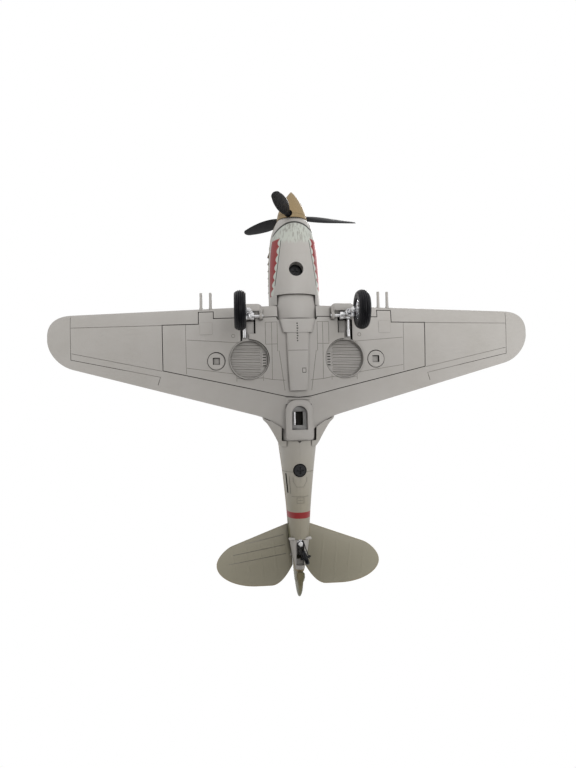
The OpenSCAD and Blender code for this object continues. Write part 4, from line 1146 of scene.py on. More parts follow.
def jack_socket(side_name, side):
    """Disc with a square peg hole, nearly flush with the wing's under skin."""
    z = max(wing_z(JACK[0]) - 3.4, wing_skin(*JACK) - 0.05)
    r = JACK_D / 2 - 0.12
    profile = [(0, 0), (r - 0.25, 0), (r, 0.25), (r, 2.0), (0, 2.0)]
    disc = turned("disc", profile, (JACK[0], JACK[1], z), UP, PAINT_GREY, 64)
    # the peg hole's walls near-black: painted shade
    cut(disc, block((JACK[0] - 1.65, JACK[1] - 1.65, z - 1), (JACK[0] + 1.65, JACK[1] + 1.65, z + 2),
                    LINE_AND_GAP_SHADE))
    floor = block((JACK[0] - 1.4, JACK[1] - 1.4, z + 1.6), (JACK[0] + 1.4, JACK[1] + 1.4, z + 2.05),
                  PAINT_GREY)
    obj = mirrored(joined("jack", [disc, floor]), side)
    place(obj, "peg_socket_" + side_name, "airframe", ["jack_socket_" + side_name])


def gun_barrels(side_name, side):
    """Two stepped barrels with drilled muzzles."""
    barrels = []
    for x in GUN_XS:
        profile = [(0, 0), (0.85, 0), (0.85, 1.6), (0.72, 1.9), (0.66, 5.6), (0.62, 7.2), (0.66, 7.3),
                   (0.66, 8.7), (0.58, 8.9), (0.32, 8.9), (0.3, 8.1), (0, 8.1)]
        barrels.append(turned("barrel", profile, (x, 61.2, wing_z(x)), FORE, PAINT_GREY, 40))
    obj = mirrored(joined("guns", barrels), side)
    place(obj, "wing_guns_" + side_name, "airframe", ["gun_barrels_" + side_name])


def gear_fairing(side_name, side):
    """Knuckle fairing with hinge lugs, bored for the pin."""
    obj = fairing_block(0, 1)
    for x in (16.2, 25.2):
        fuse(obj, rod("lug", (x, *HINGE), (x + 1.35, *HINGE), 1.5, PAINT_GREY))
    # the pin bore's walls near-black: painted shade
    cut(obj, rod("bore", (10, *HINGE), (30, *HINGE), 0.76, LINE_AND_GAP_SHADE, ease=0),
        rod("gap", (17.7, *HINGE), (24.9, *HINGE), 2.4, PAINT_GREY, n=64, ease=0))
    place(mirrored(obj, side), "knuckle_fairing_" + side_name, "airframe",
          ["gear_fairing_" + side_name])


# =========================== belly fittings ===========================
def chin_cowl():
    """Lower cowl with its intake mouth and the round stand hole."""
    shell = body(0, NOSE_Y, 60, material=PAINT_CHIN)
    within(shell, block((-30, CHIN_Y[0], -47), (30, CHIN_Y[1], CHIN_Z), PAINT_GREY))
    inner = body(WALL, NOSE_Y + 1.6 * WALL, 58, material=PAINT_GREY)
    cut(inner, drill(0, SCREW_FRONT_Y, -22, 0, 5.35, PAINT_GREY))
    mouth = []
    for y, grow in ((CHIN_Y[0] - 1, 0.1), (CHIN_Y[0] + 0.1, 0.1), (CHIN_Y[0] + 0.4, 0), (CHIN_Y[0] + 6, 0)):
        r = MOUTH_R + grow
        mouth.append([(copysign(MOUTH_X, cos(a)) + r * cos(a), y, MOUTH_Z + r * sin(a))
                      for a in steps(0.01, tau + 0.01, 0.15)[:-1]])
    # the intake mouth and the stand hole take black and near-black walls: painted shade inside them
    cut(shell, inner, loft("mouth", mouth, BLACK_PLASTIC_AND_HOLE_SHADE),
        drill(0, SCREW_FRONT_Y, -30, -9.2, 3.4, BLACK_PLASTIC_AND_HOLE_SHADE, 64),
        drill(0, SCREW_FRONT_Y, -30, 10, 1.3),
        drill(0, SCREW_FRONT_Y, -16.2, -11, 4.3))
    place(shell, "chin_skin", "airframe", ["chin_cowl"])


def radiator_flap():
    """Cooling flap behind the chin, its forward lip rolled in."""
    y0, y1 = CHIN_Y[1] + SEAM, FLAP_Y - SEAM
    rings = []
    for y in steps(y0, y1, 0.5):
        sink = 0.25 + 1.1 * (1 - (y - y0) / (y1 - y0)) ** 3
        rings.append(body_ring(y, sink))
    shell = loft("flap", rings, PAINT_GREY)
    within(shell, block((-FLAP_W + 0.05, y0 - 1, -29), (FLAP_W - 0.05, y1 + 1, -11), PAINT_GREY))
    # the flap's inner faces near-black: painted shade behind it
    cut(shell, body(1.35 + WALL, y0 - 2, y1 + 2, material=LINE_AND_GAP_SHADE))
    ease_edges(shell, 0.2)
    place(shell, "cooling_flap", "airframe", ["radiator_flap"])


def arc(cx, cy, r, start, end):
    """Points of an arc in plan, angles in degrees."""
    return [(cx + r * cos(radians(a)), cy + r * sin(radians(a))) for a in steps(start, end, 15)]


def stand_pad():
    """Raised arched pad with an open arched middle."""
    y0, y1 = PAD_Y
    front, rear_end = PAD_W / 2 - 5, PAD_W / 2 - 1.5
    outline = (arc(front, y0 + 5, 5, 270, 360) + arc(rear_end, y1 - 1.5, 1.5, 0, 90)
               + arc(-rear_end, y1 - 1.5, 1.5, 90, 180) + arc(-front, y0 + 5, 5, 180, 270))
    pad = prism(outline, -17.4, PAD_TOP, PAINT_GREY)
    window = [(-3.6, y0 + 13.8), (3.6, y0 + 13.8)] + arc(0, y0 + 6.4, 3.6, 360, 180)
    cut(pad, prism(window, -20, PAD_TOP + 1, PAINT_GREY))
    ease_edges(pad, 0.28)
    place(pad, "stand_boss", "airframe", ["stand_pad"])


def stand_clip():
    """Spring clip behind the pad, slotted for a stand's blade; one lip plain chrome, the rest a darker steel
    that paints the shade on the plating.
    """
    obj = block((-CLIP_HALF[0], CLIP_Y - CLIP_HALF[1], PAD_TOP),
                (CLIP_HALF[0], CLIP_Y + CLIP_HALF[1], PAD_TOP + 1.4), SHADED_CLIP_STEEL)
    # the slot's walls are black: painted shade inside the slot
    cut(obj, block((-1.6, CLIP_Y - 3.1, PAD_TOP - 1), (1.6, CLIP_Y + 3.1, PAD_TOP + 3), BLACK_PLASTIC_AND_HOLE_SHADE))
    ease_edges(obj, 0.18)
    lips = []
    # lit and shaded copies of the plating: a bright chrome lip and a painted-shade lip
    for s, tone in ((-1, CHROME), (1, SHADED_CLIP_STEEL)):
        section = [(s * 1.65, PAD_TOP + 0.05), (s * 2.5, PAD_TOP + 0.05), (s * 2.3, PAD_TOP - 0.5),
                   (s * 1.8, PAD_TOP - 0.5)]
        lips.append(loft("lip", [[(x, y, z) for x, z in section] for y in (CLIP_Y - 2.9, CLIP_Y + 2.9)],
                         tone))
    place(joined("clip", [obj, *lips]), "stand_socket_clip", "airframe", ["stand_clip"])


# =========================== tail ===========================
TAIL_ROOT_Y = TAIL_POST - 21.2
TAIL_TIP_Y = TAIL_POST - 2.3


def tail_front(x):
    u = max(0.0, (x - TAIL_SPAN / 2 + 8) / 8)
    return TAIL_TIP_Y - (TAIL_TIP_Y - TAIL_ROOT_Y - 0.371 * (x - 7)) * sqrt(max(0.0, 1 - u * u))


def tail_back(x):
    u = max(0.0, (x - TAIL_SPAN / 2 + 20) / 20)
    inner = TAIL_POST + 0.4 + 1.66 * (x - 4)
    outer = TAIL_TIP_Y + (TAIL_POST + 8.6 - TAIL_TIP_Y) * sqrt(max(0.0, 1 - u * u))
    blend = max(0.0, 1 - abs(inner - outer) / 8)
    return min(inner, outer) - 2 * blend * blend


# Scribed lines under the starboard tailplane and nicks in the port one's rear edge
TAIL_LINES = [[(8.3, 165.9), (21.6, 169.8)], [(7.4, 170.3), (28.4, 174.7)], [(6.9, 175.2), (32.3, 179.6)],
              [(6.4, 179.6), (34.3, 184.0)]]
TAIL_NICKS = [[(x, 193.1 - 0.03 * x), (x, 195.5)] for x in (11.5, 15, 19.5, 24, 28)]


def tailplane(side_name, side):
    """Tailplane with low fabric ribs and its scribed lines or nicks."""
    rings = []
    tip = [TAIL_SPAN / 2 - d for d in (0.05, 0.25, 0.6, 0.9, 1.4, 2, 2.8, 3.6, 4.8, 6)]
    for x in tip + steps(TAIL_SPAN / 2 - 6, 3, 0.35)[1:]:
        a = tail_front(x)
        c = tail_back(x) - a
        ring = []
        for i in range(64):
            s, up = (1 + cos(tau * i / 64)) / 2, sin(tau * i / 64)
            rib = 0.11 * max(0.0, cos(pi * (x - 6.5 + 0.1 * s * c) / 3.3)) ** 14
            rib *= min(1.0, 4 * s * (1 - s)) * (1.0 if x < TAIL_SPAN / 2 - 3 else 0.0)
            z = TAIL_Z + copysign(foil(s) * c * 0.09 + 0.2 * s + rib, up) if abs(up) > 0.01 else TAIL_Z
            ring.append((x, a + c * s, z))
        rings.append(ring)
    obj = loft("tailplane", rings, PAINT_TAIL)
    tools = []
    for line in TAIL_LINES if side < 0 else TAIL_NICKS:
        tools += slit(line, LINE_W, -3, TAIL_Z - 0.7, FAINT_LINE_AND_SHADOW)
    cut(obj, union_of(tools), body(-0.4 if side < 0 else -0.05, 140, TAIL_POST + 0.04),
        block((-2.6, TAIL_POST - 1, -10), (2.6, TAIL_POST + 29, 30), PAINT_TAIL))
    tab = block((0.2, TAIL_TAB_Y[0], TAIL_Z - 0.8), (4.4, TAIL_TAB_Y[1], TAIL_Z + 0.8), PAINT_GREY)
    obj = mirrored(joined("tailplane", [obj, tab]), side)
    place(obj, "tailplane_skin_" + side_name, "airframe", ["tailplane_" + side_name])


def tail_wheel_plate():
    """Inset plate round the tail wheel's slot."""
    obj = body(-0.3, 150, TAIL_POST, material=PAINT_GREY)
    within(obj, prism(tail_plate_outline(), -12, -1, PAINT_GREY))
    ears = prism(arc(-5.0, TAIL_POST - 16.6, 0.5, 90, 270) + arc(5.0, TAIL_POST - 16.6, 0.5, 270, 450), -5.6,
                 -4.2, PAINT_GREY)
    cut(ears, body(0.6, 150, TAIL_POST - 1, material=PAINT_GREY))
    fuse(obj, ears)
    slot_outline = (arc(0, TAIL_POST - 13.7, 1.9, 180, 360)
                    + [(1.9, TAIL_POST - 3.2), (-1.9, TAIL_POST - 3.2)])
    cut(obj, body(1.2, 145, TAIL_POST - 5, material=PAINT_GREY), prism(slot_outline, -20, 10, PAINT_GREY),
        drill(0, CASTER_Y, -8, 0, 1.85))
    place(obj, "tail_plate", "airframe", ["tail_wheel_plate"])


# =========================== cockpit ===========================
HOOD = [(79.3, 7.6, CANOPY_TOP), (87.5, 7.6, CANOPY_TOP + 0.12), (95.6, 7.6, CANOPY_TOP + 0.2)]
SCREEN = [(70.6, 4.0, SILL_Z + 0.8), (74.5, 6.3, SILL_Z + 4.8), (79.0, 7.5, CANOPY_TOP - 0.4)]
HOOD_LIFT = 0.4


def hood_point(keys, y, angle, shrink, lift):
    w, top = along(keys, y, 1) - shrink, along(keys, y, 2) - shrink
    base = SILL_Z + 0.1
    return (w * signed(cos(angle), 0.9), y, lift + base + (top - base) * max(0.0, sin(angle)) ** 0.9)


def patch(point, us, vs, outer, inner, material, name="patch"):
    """A closed strip of a curved wall: point(u, v, depth) gives its surface at a depth."""
    nu, nv = len(us), len(vs)
    points = [point(u, v, d) for d in (outer, inner) for u in us for v in vs]
    faces = []
    base = nu * nv
    for i in range(nu - 1):
        for j in range(nv - 1):
            a = i * nv + j
            faces.append([a, a + 1, a + nv + 1, a + nv])
            faces.append([base + a, base + a + nv, base + a + nv + 1, base + a + 1])
    for i in range(nu - 1):
        for j in (0, nv - 1):
            a = i * nv + j
            faces.append([a, a + nv, base + a + nv, base + a])
    for j in range(nv - 1):
        for i in (0, nu - 1):
            a = i * nv + j
            faces.append([a, base + a, base + a + 1, a + 1])
    return make(name, points, faces, material)


def hood(keys, lift, bows, bars):
    """A clear hood with painted bows across it and bars along it; returns glass and frame."""
    def point(y, angle, depth):
        return hood_point(keys, y, angle, depth, lift)

    y0, y1 = keys[0][0], keys[-1][0]
    arch = steps(0.02, pi - 0.02, 0.07)
    glass = patch(point, steps(y0, y1, 0.8), arch, 0.0, 0.55, CLEAR, "glass")
    strips = [patch(point, steps(a, b, 0.5), arch, -0.12, 0.12, PAINT_UPPER) for a, b in bows]
    strips += [patch(point, steps(y0, y1, 0.8), steps(a, b, 0.05), -0.1, 0.1, PAINT_UPPER) for a, b in bars]
    return glass, joined("frame", strips)


def canopy():
    y0, y1 = HOOD[0][0], HOOD[-1][0]
    sides = [(0.02, 0.14), (pi - 0.14, pi - 0.02), (1.16, 1.24), (pi - 1.24, pi - 1.16)]
    glass, frame_bars = hood(HOOD, HOOD_LIFT, [(y0, y0 + 0.8), (y0 + 5.2, y0 + 5.75), (y1 - 5.6, y1 - 5.05),
                                               (y1 - 0.8, y1)], sides)
    place(glass, "canopy_glass", "canopy_hood", ["canopy"])
    place(frame_bars, "canopy_frame", "canopy_hood")


def windscreen():
    y0, y1 = SCREEN[0][0], SCREEN[-1][0]
    posts = [(1.02, 1.14), (pi - 1.14, pi - 1.02), (0.02, 0.12), (pi - 0.12, pi - 0.02)]
    glass, frame_bars = hood(SCREEN, 0.0, [(y0, y0 + 0.6), (y1 - 0.7, y1)], posts)
    place(glass, "windscreen_glass", "airframe", ["windscreen"])
    place(frame_bars, "windscreen_frame", "airframe")


def rear_glass():
    """The two quarter windows let into the back."""
    obj = quarter_window(0.0)
    obj.data.materials[0] = CLEAR
    within(obj, spine(-0.1, CLEAR))
    cut(obj, spine(1.1, CLEAR))
    place(obj, "quarter_windows", "airframe", ["rear_glass"])


def cockpit():
    """Tub with ribbed sides and consoles, bucket seat with belts, dials and a gripped stick."""
    tub = block((-5.7, 77.1, -2.4), (5.7, 95.4, 12.2), COCKPIT_GREEN)
    cut(tub, block((-4.9, 77.9, -1.6), (4.9, 94.6, 18), COCKPIT_GREEN))
    parts = [tub]
    for s in (-1, 1):
        for y in (80.5, 83.5, 86.5, 89.5, 92.5):
            parts.append(block((s * 4.9 - 0.12, y - 0.2, -1.4), (s * 4.9 + 0.12, y + 0.2, 11.6),
                               COCKPIT_GREEN))
        low, high = sorted((s * 3.5, s * 4.95))
        console = block((low, 79.4, -1.5), (high, 86.5, 4.2), DARK_METAL)
        parts.append(ease_edges(console, 0.2))
        for y in (80.6, 82.2, 83.8, 85.4):
            parts.append(rod("knob", (s * 4.2, y, 4.1), (s * 4.2, y, 4.9), 0.35, DIAL, n=16))
    place(joined("tub", parts), "cockpit_interior", "airframe", ["cockpit_tub"])
    pan = block((-3, 87.4, -1.6), (3, 93.4, 1), COCKPIT_GREEN)
    back = block((-3, 92, 1), (3, 93.4, 10), COCKPIT_GREEN)
    for piece in (pan, back):
        ease_edges(piece, 0.5)
    cushion = ease_edges(block((-2.5, 87.8, 0.9), (2.5, 92, 1.7), LEATHER), 0.35)
    rest = ease_edges(block((-2.4, 91.5, 2.2), (2.4, 92.2, 8.6), LEATHER), 0.3)
    belts = [ease_edges(block((x - 0.35, 91.3, 1.8), (x + 0.35, 91.55, 9.6), DIAL), 0.08)
             for x in (-1.3, 1.3)]
    place(joined("seat", [pan, back, cushion, rest, *belts]), "pilot_seat", "airframe",
          ["seat"])
    panel = block((-4.8, 78, 4), (4.8, 79, 12), BLACK_PLASTIC_AND_HOLE_SHADE)
    ease_edges(panel, 0.2)
    dials = []
    for x in (-3.2, 0, 3.2):
        for z in (6, 9.4):
            dials.append(turned("bezel", [(0.75, 0), (1.15, 0), (1.15, 0.25), (0.95, 0.35), (0.75, 0.3)],
                                (x, 78.95, z), AFT, DARK_METAL, 32))
            dials.append(rod("face", (x, 78.95, z), (x, 79.1, z), 0.78, DIAL, n=32))
    place(joined("panel", [panel, *dials]), "dial_panel", "airframe", ["instrument_panel"])
    stick = rod("stick", (0, 81.5, -1.6), (0, 81.5, 3.1), 0.32, DARK_METAL, n=24)
    boot = turned("boot", [(0, 0), (0.5, 0), (0.5, 0.3), (0.42, 0.6), (0.34, 1.1), (0, 1.1)], (0, 81.5, -1.6),
                  UP, BLACK_PLASTIC_AND_HOLE_SHADE, 24)
    grip = turned("grip", [(0, 0), (0.4, 0), (0.55, 0.4), (0.45, 0.9), (0.6, 1.5), (0.75, 2.0), (0.5, 2.4),
                           (0, 2.4)], (0, 81.5, 2.9), UP, BLACK_PLASTIC_AND_HOLE_SHADE, 24)
    place(joined("stick", [stick, boot, grip]), "stick_and_grip", "airframe",
          ["control_stick"])
    sight = block((-0.6, 77.4, SILL_Z), (0.6, 79, SILL_Z + 2), BLACK_PLASTIC_AND_HOLE_SHADE)
    ease_edges(sight, 0.15)
    lens = turned("lens", [(0, 0), (0.7, 0), (0.8, 0.2), (0.8, 0.8), (0.6, 1.0), (0.5, 0.8), (0, 0.8)],
                  (0, 78.2, SILL_Z + 2), UP, DARK_METAL, 32)
    place(joined("sight", [sight, lens]), "reflector_sight", "airframe", ["gunsight"])


# =========================== nose fittings ===========================
def exhausts(side_name, side):
    """Six flared stubs in a plate."""
    parts = [ease_edges(block((BODY_W - 2.2, EXHAUST_Y[0], EXHAUST_Z[0]),
                              (BODY_W - 1.0, EXHAUST_Y[1], EXHAUST_Z[1]), BURNT), 0.12)]
    lean = radians(74)
    way = Vector((cos(lean), sin(lean), 0))
    for i in range(6):
        profile = [(0.9, 0), (0.95, 1.6), (1.13, 3.2), (1.06, 3.4), (0.86, 3.4), (0.75, 3.1), (0.72, 1.4),
                   (0, 1.4), (0, 0)]
        stub = turned("stub", profile, (BODY_W - 1.9, EXHAUST_Y[0] + 2 + 3.6 * i, EXHAUST_MID_Z), way, BURNT,
                      32)
        lift = Matrix.Translation((0, 0, EXHAUST_MID_Z))
        stub.data.transform(lift @ Matrix.Scale(1.12, 4, UP) @ lift.inverted())
        parts.append(stub)
    obj = mirrored(joined("exhausts", parts), side)
    place(obj, "exhaust_stubs_" + side_name, "airframe", ["exhaust_" + side_name])


def taper(name, start, r1, end, r2, material):
    """A capsule with round ends of different radius."""
    length = (Vector(end) - Vector(start)).length
    profile = [(r1 * sin(a), -r1 * cos(a)) for a in steps(0, pi / 2, 0.2)]
    profile += [(r2 * cos(a), length + r2 * sin(a)) for a in steps(0, pi / 2, 0.2)]
    return turned(name, profile, start, Vector(end) - Vector(start), material, 32)


def cowl_gun(side_name, side):
    """Blast tube fairing on the top cowl with its muzzle."""
    obj = taper("trough", (4.4, 48, 9.8), 2.0, (4.2, 62, 10.6), 1.2, PAINT_UPPER)
    muzzle = turned("muzzle", [(0, 0), (0.75, 0), (0.75, 7.8), (0.68, 8), (0.42, 8), (0.4, 6.8), (0, 6.8)],
                    (4.4, 48, 10.6), FORE, DARK_METAL, 32)
    fuse(obj, muzzle)
    cut(obj, body(0, 25, 80))
    place(mirrored(obj, side), "blast_tube_" + side_name, "airframe", ["cowl_gun_" + side_name])


def intake_scoop():
    """Long carburettor scoop on top of the cowl."""
    rings = []
    for y in steps(22.5, 43.9, 0.6):
        t = (y - 22.5) / 21.4
        r = 2.1 * sqrt(max(0.0006, 1 - max(0.0, (t - 0.86) / 0.14) ** 2))
        rings.append([(r * cos(a), y, 9.6 + r * sin(a)) for a in round_steps(0.2)])
    obj = loft("scoop", rings, PAINT_UPPER)
    # the mouth's inside black: painted shade
    cut(obj, turned("mouth", [(0, 0), (1.5, 0), (1.3, 1.8), (1.2, 4), (0, 4.5)], (0, 21.5, 10.4), AFT,
                    BLACK_PLASTIC_AND_HOLE_SHADE, 32), body(0, 17, 60))
    place(obj, "carburettor_scoop", "airframe", ["intake_scoop"])


def spinner_radius(y):
    return SPINNER_D / 2 * (1 - (1 - y / SPINNER_L) ** 1.6) ** 0.88


def blade_dir(i):
    a = BLADE_TURN + tau / 3 * i
    return Vector((cos(a), 0, sin(a)))


def spinner():
    """Blunt-tipped spinner with a parting line, a back plate rim and round blade openings."""
    ys = [0.05, 0.2, 0.5, 0.9] + steps(1.4, SPINNER_L - 2.2, 0.5)
    profile = [(0, 0)] + [(spinner_radius(y), y) for y in ys]
    seam = SPINNER_L - 2.0
    profile += [(spinner_radius(seam) - 0.15, seam), (spinner_radius(seam) - 0.15, seam + 0.2),
                (spinner_radius(seam + 0.2), seam + 0.22),
                (spinner_radius(SPINNER_L) - 0.06, SPINNER_L - 0.15),
                (spinner_radius(SPINNER_L) - 0.15, SPINNER_L)]
    inner = [(spinner_radius(min(y, SPINNER_L)) - 1.2, y) for y in (SPINNER_L, 13, 11, 9, 7, 5)]
    obj = turned("spinner", profile + inner + [(0, 3.4)], (0, 0, 0), AFT, PAINT_SPINNER, 96)
    # the blade openings' walls near-black: painted shade
    for i in range(3):
        way = blade_dir(i)
        cut(obj, rod("opening", Vector((0, BLADE_Y + 0.1, 0)) + way * 2,
                     Vector((0, BLADE_Y + 0.1, 0)) + way * 12, 1.95, LINE_AND_GAP_SHADE, ease=0))
    place(obj, "spinner_shell", "propeller", ["spinner"])


# radius, chord, thickness, pitch in degrees
BLADE = [(3, 2.6, 2.2, 60), (7, 2.8, 2, 56), (12, 5, 1.5, 48), (18, 6.3, 1.2, 40), (24, 6.1, 1, 34),
         (29, 5.1, 0.8, 31), (32.5, 3.6, 0.65, 29), (34.7, 1.5, 0.5, 28)]


def propeller():
    """Three twisted blades with rounded tips on a hub."""
    hub = turned("hub", [(1.03, 0), (4.0, 0), (4.2, 0.2), (4.2, 2.8), (4.0, 3), (1.03, 3)],
                 (0, SPINNER_L - 3.6, 0), AFT, BLACK_PLASTIC_AND_HOLE_SHADE, 64)
    blades = []
    for i in range(3):
        way = blade_dir(i)
        across = Vector((-way.z, 0, way.x))
        rings = []
        for r in steps(3.4, 33.2, 0.7) + [33.6, 34.0, 34.3, 34.55, 34.72]:
            tip = sqrt(max(0.03, 1 - max(0.0, (r - 31.2) / (34.8 - 31.2)) ** 2))
            full = along(BLADE, min(r, 31.2), 1)
            chord, thick = full * (tip if r > 31.2 else 1), along(BLADE, r, 2) * (0.4 + 0.6 * tip)
            a = radians(along(BLADE, r, 3))
            ring = []
            for k in range(40):
                t = tau * k / 40
                u, v = cos(t) * chord / 2, sin(t) * thick / 2 * (1 - 0.22 * cos(t))
                ring.append(Vector((0, BLADE_Y, 0)) + way * (r * PROP_R / 35)
                            + across * (u * cos(a) - v * sin(a)) - Vector((0, u * sin(a) + v * cos(a), 0)))
            rings.append(ring)
        blades.append(loft("blade", rings, BLACK_PLASTIC_AND_HOLE_SHADE))
    place(fuse(hub, *blades), "propeller_blades_and_hub", "propeller", ["propeller_blades"])


# =========================== undercarriage ===========================
def leg_frame(side):
    """Maps a point in a leg's own frame (x outboard, z up along the leg) to the airframe."""
    turn = Matrix.Rotation(LEG_LEAN, 4, "X")
    flip = Matrix.Scale(side, 4, PORT)
    return flip @ Matrix.Translation((LEG_X, *HINGE)) @ turn


def set_on_leg(obj, side):
    obj.data.transform(leg_frame(side))
    if side < 0:
        obj.data.flip_normals()
    return obj


def gear_leg(side_name, side):
    """Upper leg: trunnion barrel, oleo cylinder with rings, bored for the piston."""
    trunnion = turned("trunnion", [(0.8, 0), (1.75, 0), (1.9, 0.15), (1.9, 1.5), (1.7, 1.7), (1.7, 3.1),
                                   (1.9, 3.3), (1.9, 4.65), (1.75, 4.8), (0.8, 4.8)], (-2.6, 0, 0), PORT,
                      CHROME, 48)
    oleo = turned("oleo", [(0, -0.3), (1.4, -0.3), (1.4, -3.2), (1.55, -3.35), (1.55, -3.8), (1.4, -3.95),
                           (1.4, -8.9), (1.7, -9.1), (1.7, -10.9), (1.6, -11), (0.94, -11), (0.94, -3),
                           (0, -3)], (0, 0, 0), UP, CHROME, 48)
    lug = ease_edges(block((-0.55, 0.9, -10.6), (0.55, 2.1, -9.3), CHROME), 0.12)
    obj = fuse(trunnion, oleo)
    place(set_on_leg(joined("leg", [obj, lug]), side), "oleo_leg_" + side_name, "leg_" + side_name,
          ["gear_leg_" + side_name])


def gear_strut(side_name, side):
    """Sliding piston, torque links and axle."""
    piston = rod("piston", (0, 0, -LEG_L - 0.9), (0, 0, -4), 0.9, CHROME, n=40)
    elbow = taper("elbow", (0, 0, -LEG_L), 1.15, (0.9, 0, -LEG_L), 1.15, CHROME)
    axle = rod("axle", (0, 0, -LEG_L), (WHEEL_OFF + 2.3, 0, -LEG_L), 0.9, CHROME, n=40)
    obj = fuse(piston, elbow, axle)
    arm = [ease_edges(block((-0.5, 0.7, -LEG_L + 1.2), (0.5, 2.9, -LEG_L + 2.6), CHROME), 0.12)]
    link = loft("link", [[(x, 2.1, -LEG_L + 2.4), (x, 2.95, -LEG_L + 2.5), (x, 2.0, -LEG_L + 7.9),
                          (x, 1.25, -LEG_L + 7.8)] for x in (-0.5, 0.5)], CHROME)
    cut(link, block((-0.2, 0, -LEG_L + 3.6), (0.2, 5, -LEG_L + 6.8), CHROME))
    arm.append(link)
    arm.append(rod("link pin", (-0.75, 2.5, -LEG_L + 2.2), (0.75, 2.5, -LEG_L + 2.2), 0.35, CHROME, n=20))
    place(set_on_leg(joined("strut", [obj, *arm]), side), "piston_and_axle_" + side_name,
          "strut_" + side_name, ["gear_strut_" + side_name])


def wheel_hub(side_name, side):
    """Plated hub: dished faces, a raised boss and eight lightening holes."""
    r, w = WHEEL_D * 0.26, WHEEL_W / 2
    half = [(0.97, w - 0.2), (1.8, w - 0.2), (2.0, w - 0.35), (2.1, w - 0.9), (2.5, w - 1.25), (3.6, w - 1.3),
            (r - 0.45, w - 0.9), (r - 0.3, w - 0.62), (r, w - 0.65)]
    profile = half + [(a, -b) for a, b in reversed(half)]
    hub = turned("hub", profile, (WHEEL_OFF, 0, -LEG_L), PORT, CHROME, 96)
    # lightening holes with near-black walls: painted shade inside them
    holes = []
    for i in range(8):
        a = tau * i / 8
        y, z = 3.05 * cos(a), -LEG_L + 3.05 * sin(a)
        holes.append(rod("hole", (WHEEL_OFF - 4, y, z), (WHEEL_OFF + 4, y, z), 0.42, LINE_AND_GAP_SHADE, n=20, ease=0))
    cut(hub, *holes)
    nut = turned("nut", [(0.97, w - 0.25), (1.35, w - 0.25), (1.35, w), (0.97, w)], (WHEEL_OFF, 0, -LEG_L),
                 PORT, CHROME, 6)
    place(set_on_leg(joined("hub", [hub, nut]), side), "hub_shell_" + side_name, "wheel_" + side_name,
          ["wheel_hub_" + side_name])


def tyre_shape(name, d, w, bore, centre, axis, tread, n=128):
    """A tyre: full round section, a bead, a sidewall step and tread grooves."""
    R, r = d / 2, w * 0.62
    groove, deep = w * 0.03, min(0.3, w * 0.07)
    shaped = []
    for h in steps(0, w / 2 - 0.02, w / 40):
        radius = R - r + sqrt(max(0.0, r * r - h * h))
        near = min(abs(h - g) for g in tread)
        shaped.append((radius - deep * max(0.0, 1 - (near / groove) ** 2) if near < groove else radius, h))
    shoulder = shaped[-1][0]
    wall = [(shoulder - 0.25, w / 2), (shoulder * 0.5 + bore / 4 + 0.4, w / 2),
            (shoulder * 0.5 + bore / 4 + 0.3, w / 2 - 0.1), (bore / 2 + 0.5, w / 2 - 0.12),
            (bore / 2 + 0.12, w / 2 - 0.3), (bore / 2, w / 2 - 0.55)]
    upper = shaped + wall
    profile = upper + [(a, -b) for a, b in reversed(upper) if b > 1e-6 or a == bore / 2]
    clean = [p for i, p in enumerate(profile) if i == 0 or (Vector(p) - Vector(profile[i - 1])).length > 1e-5]
    return turned(name, clean, centre, axis, RUBBER, n)


def tyre(side_name, side):
    obj = tyre_shape("tyre", WHEEL_D, WHEEL_W, WHEEL_D * 0.52, (WHEEL_OFF, 0, -LEG_L), PORT, (0.45, 1.25))
    place(set_on_leg(obj, side), "tyre_" + side_name + "_tread", "wheel_" + side_name,
          ["tyre_" + side_name])


def tail_gear():
    """Swivelling fork, hub and tyre of the tail wheel."""
    turn = Matrix.Translation((0, CASTER_Y, 0)) @ Matrix.Rotation(CASTER_TURN, 4, "Z")
    stem = rod("stem", (0, 0, -7.2), (0, 0, -1.8), 0.9, CHROME, n=40)
    crown = turned("crown", [(0, 0), (0.9, 0), (1.1, 0.2), (1.1, 1.15), (1.0, 1.3), (0, 1.3)], (0, 0, -8.3),
                   UP, CHROME, 48)
    yoke = ease_edges(block((-1.75, -0.4, -8.1), (1.75, 0.9, -7.0), DARK_METAL), 0.25)
    parts = [fuse(stem, crown), yoke]
    for s in (-1, 1):
        x0, x1 = sorted((s * 1.3, s * 1.72))
        side_view = [(0.0, -8.2), (0.0, -7.0), (0.9, -7.0)] + arcs_round_axle()
        arm = loft("arm", [[(x, y, z) for y, z in side_view] for x in (x0, x1)], DARK_METAL)
        # the axle hole's walls near-black: painted shade
        cut(arm, rod("hole", (-4, CASTER_TRAIL, TAIL_WHEEL_Z), (4, CASTER_TRAIL, TAIL_WHEEL_Z), 0.52,
                     LINE_AND_GAP_SHADE, ease=0))
        parts.append(arm)
    fork = joined("fork", parts)
    fork.data.transform(turn)
    place(fork, "tail_fork_arms", "tail_swivel", ["tail_fork"])
    centre = (0, CASTER_TRAIL, TAIL_WHEEL_Z)
    r, h = TAIL_WHEEL_D * 0.25, 0.95
    hub = turned("hub", [(0.55, h), (0.9, h), (1.0, h - 0.3), (r - 0.25, h - 0.35), (r - 0.1, h - 0.05),
                         (r, h - 0.1), (r, -h + 0.1), (r - 0.1, -h + 0.05), (r - 0.25, -h + 0.35),
                         (1.0, -h + 0.3), (0.9, -h), (0.55, -h)], centre, PORT, CHROME, 64)
    hub.data.transform(turn)
    place(hub, "tail_hub_disc", "tail_wheel", ["tail_hub"])
    small = tyre_shape("tail tyre", TAIL_WHEEL_D, 2.0, TAIL_WHEEL_D * 0.5, centre, PORT, (0.0,), 96)
    small.data.transform(turn)
    place(small, "tail_tyre_tread", "tail_wheel", ["tail_tyre"])


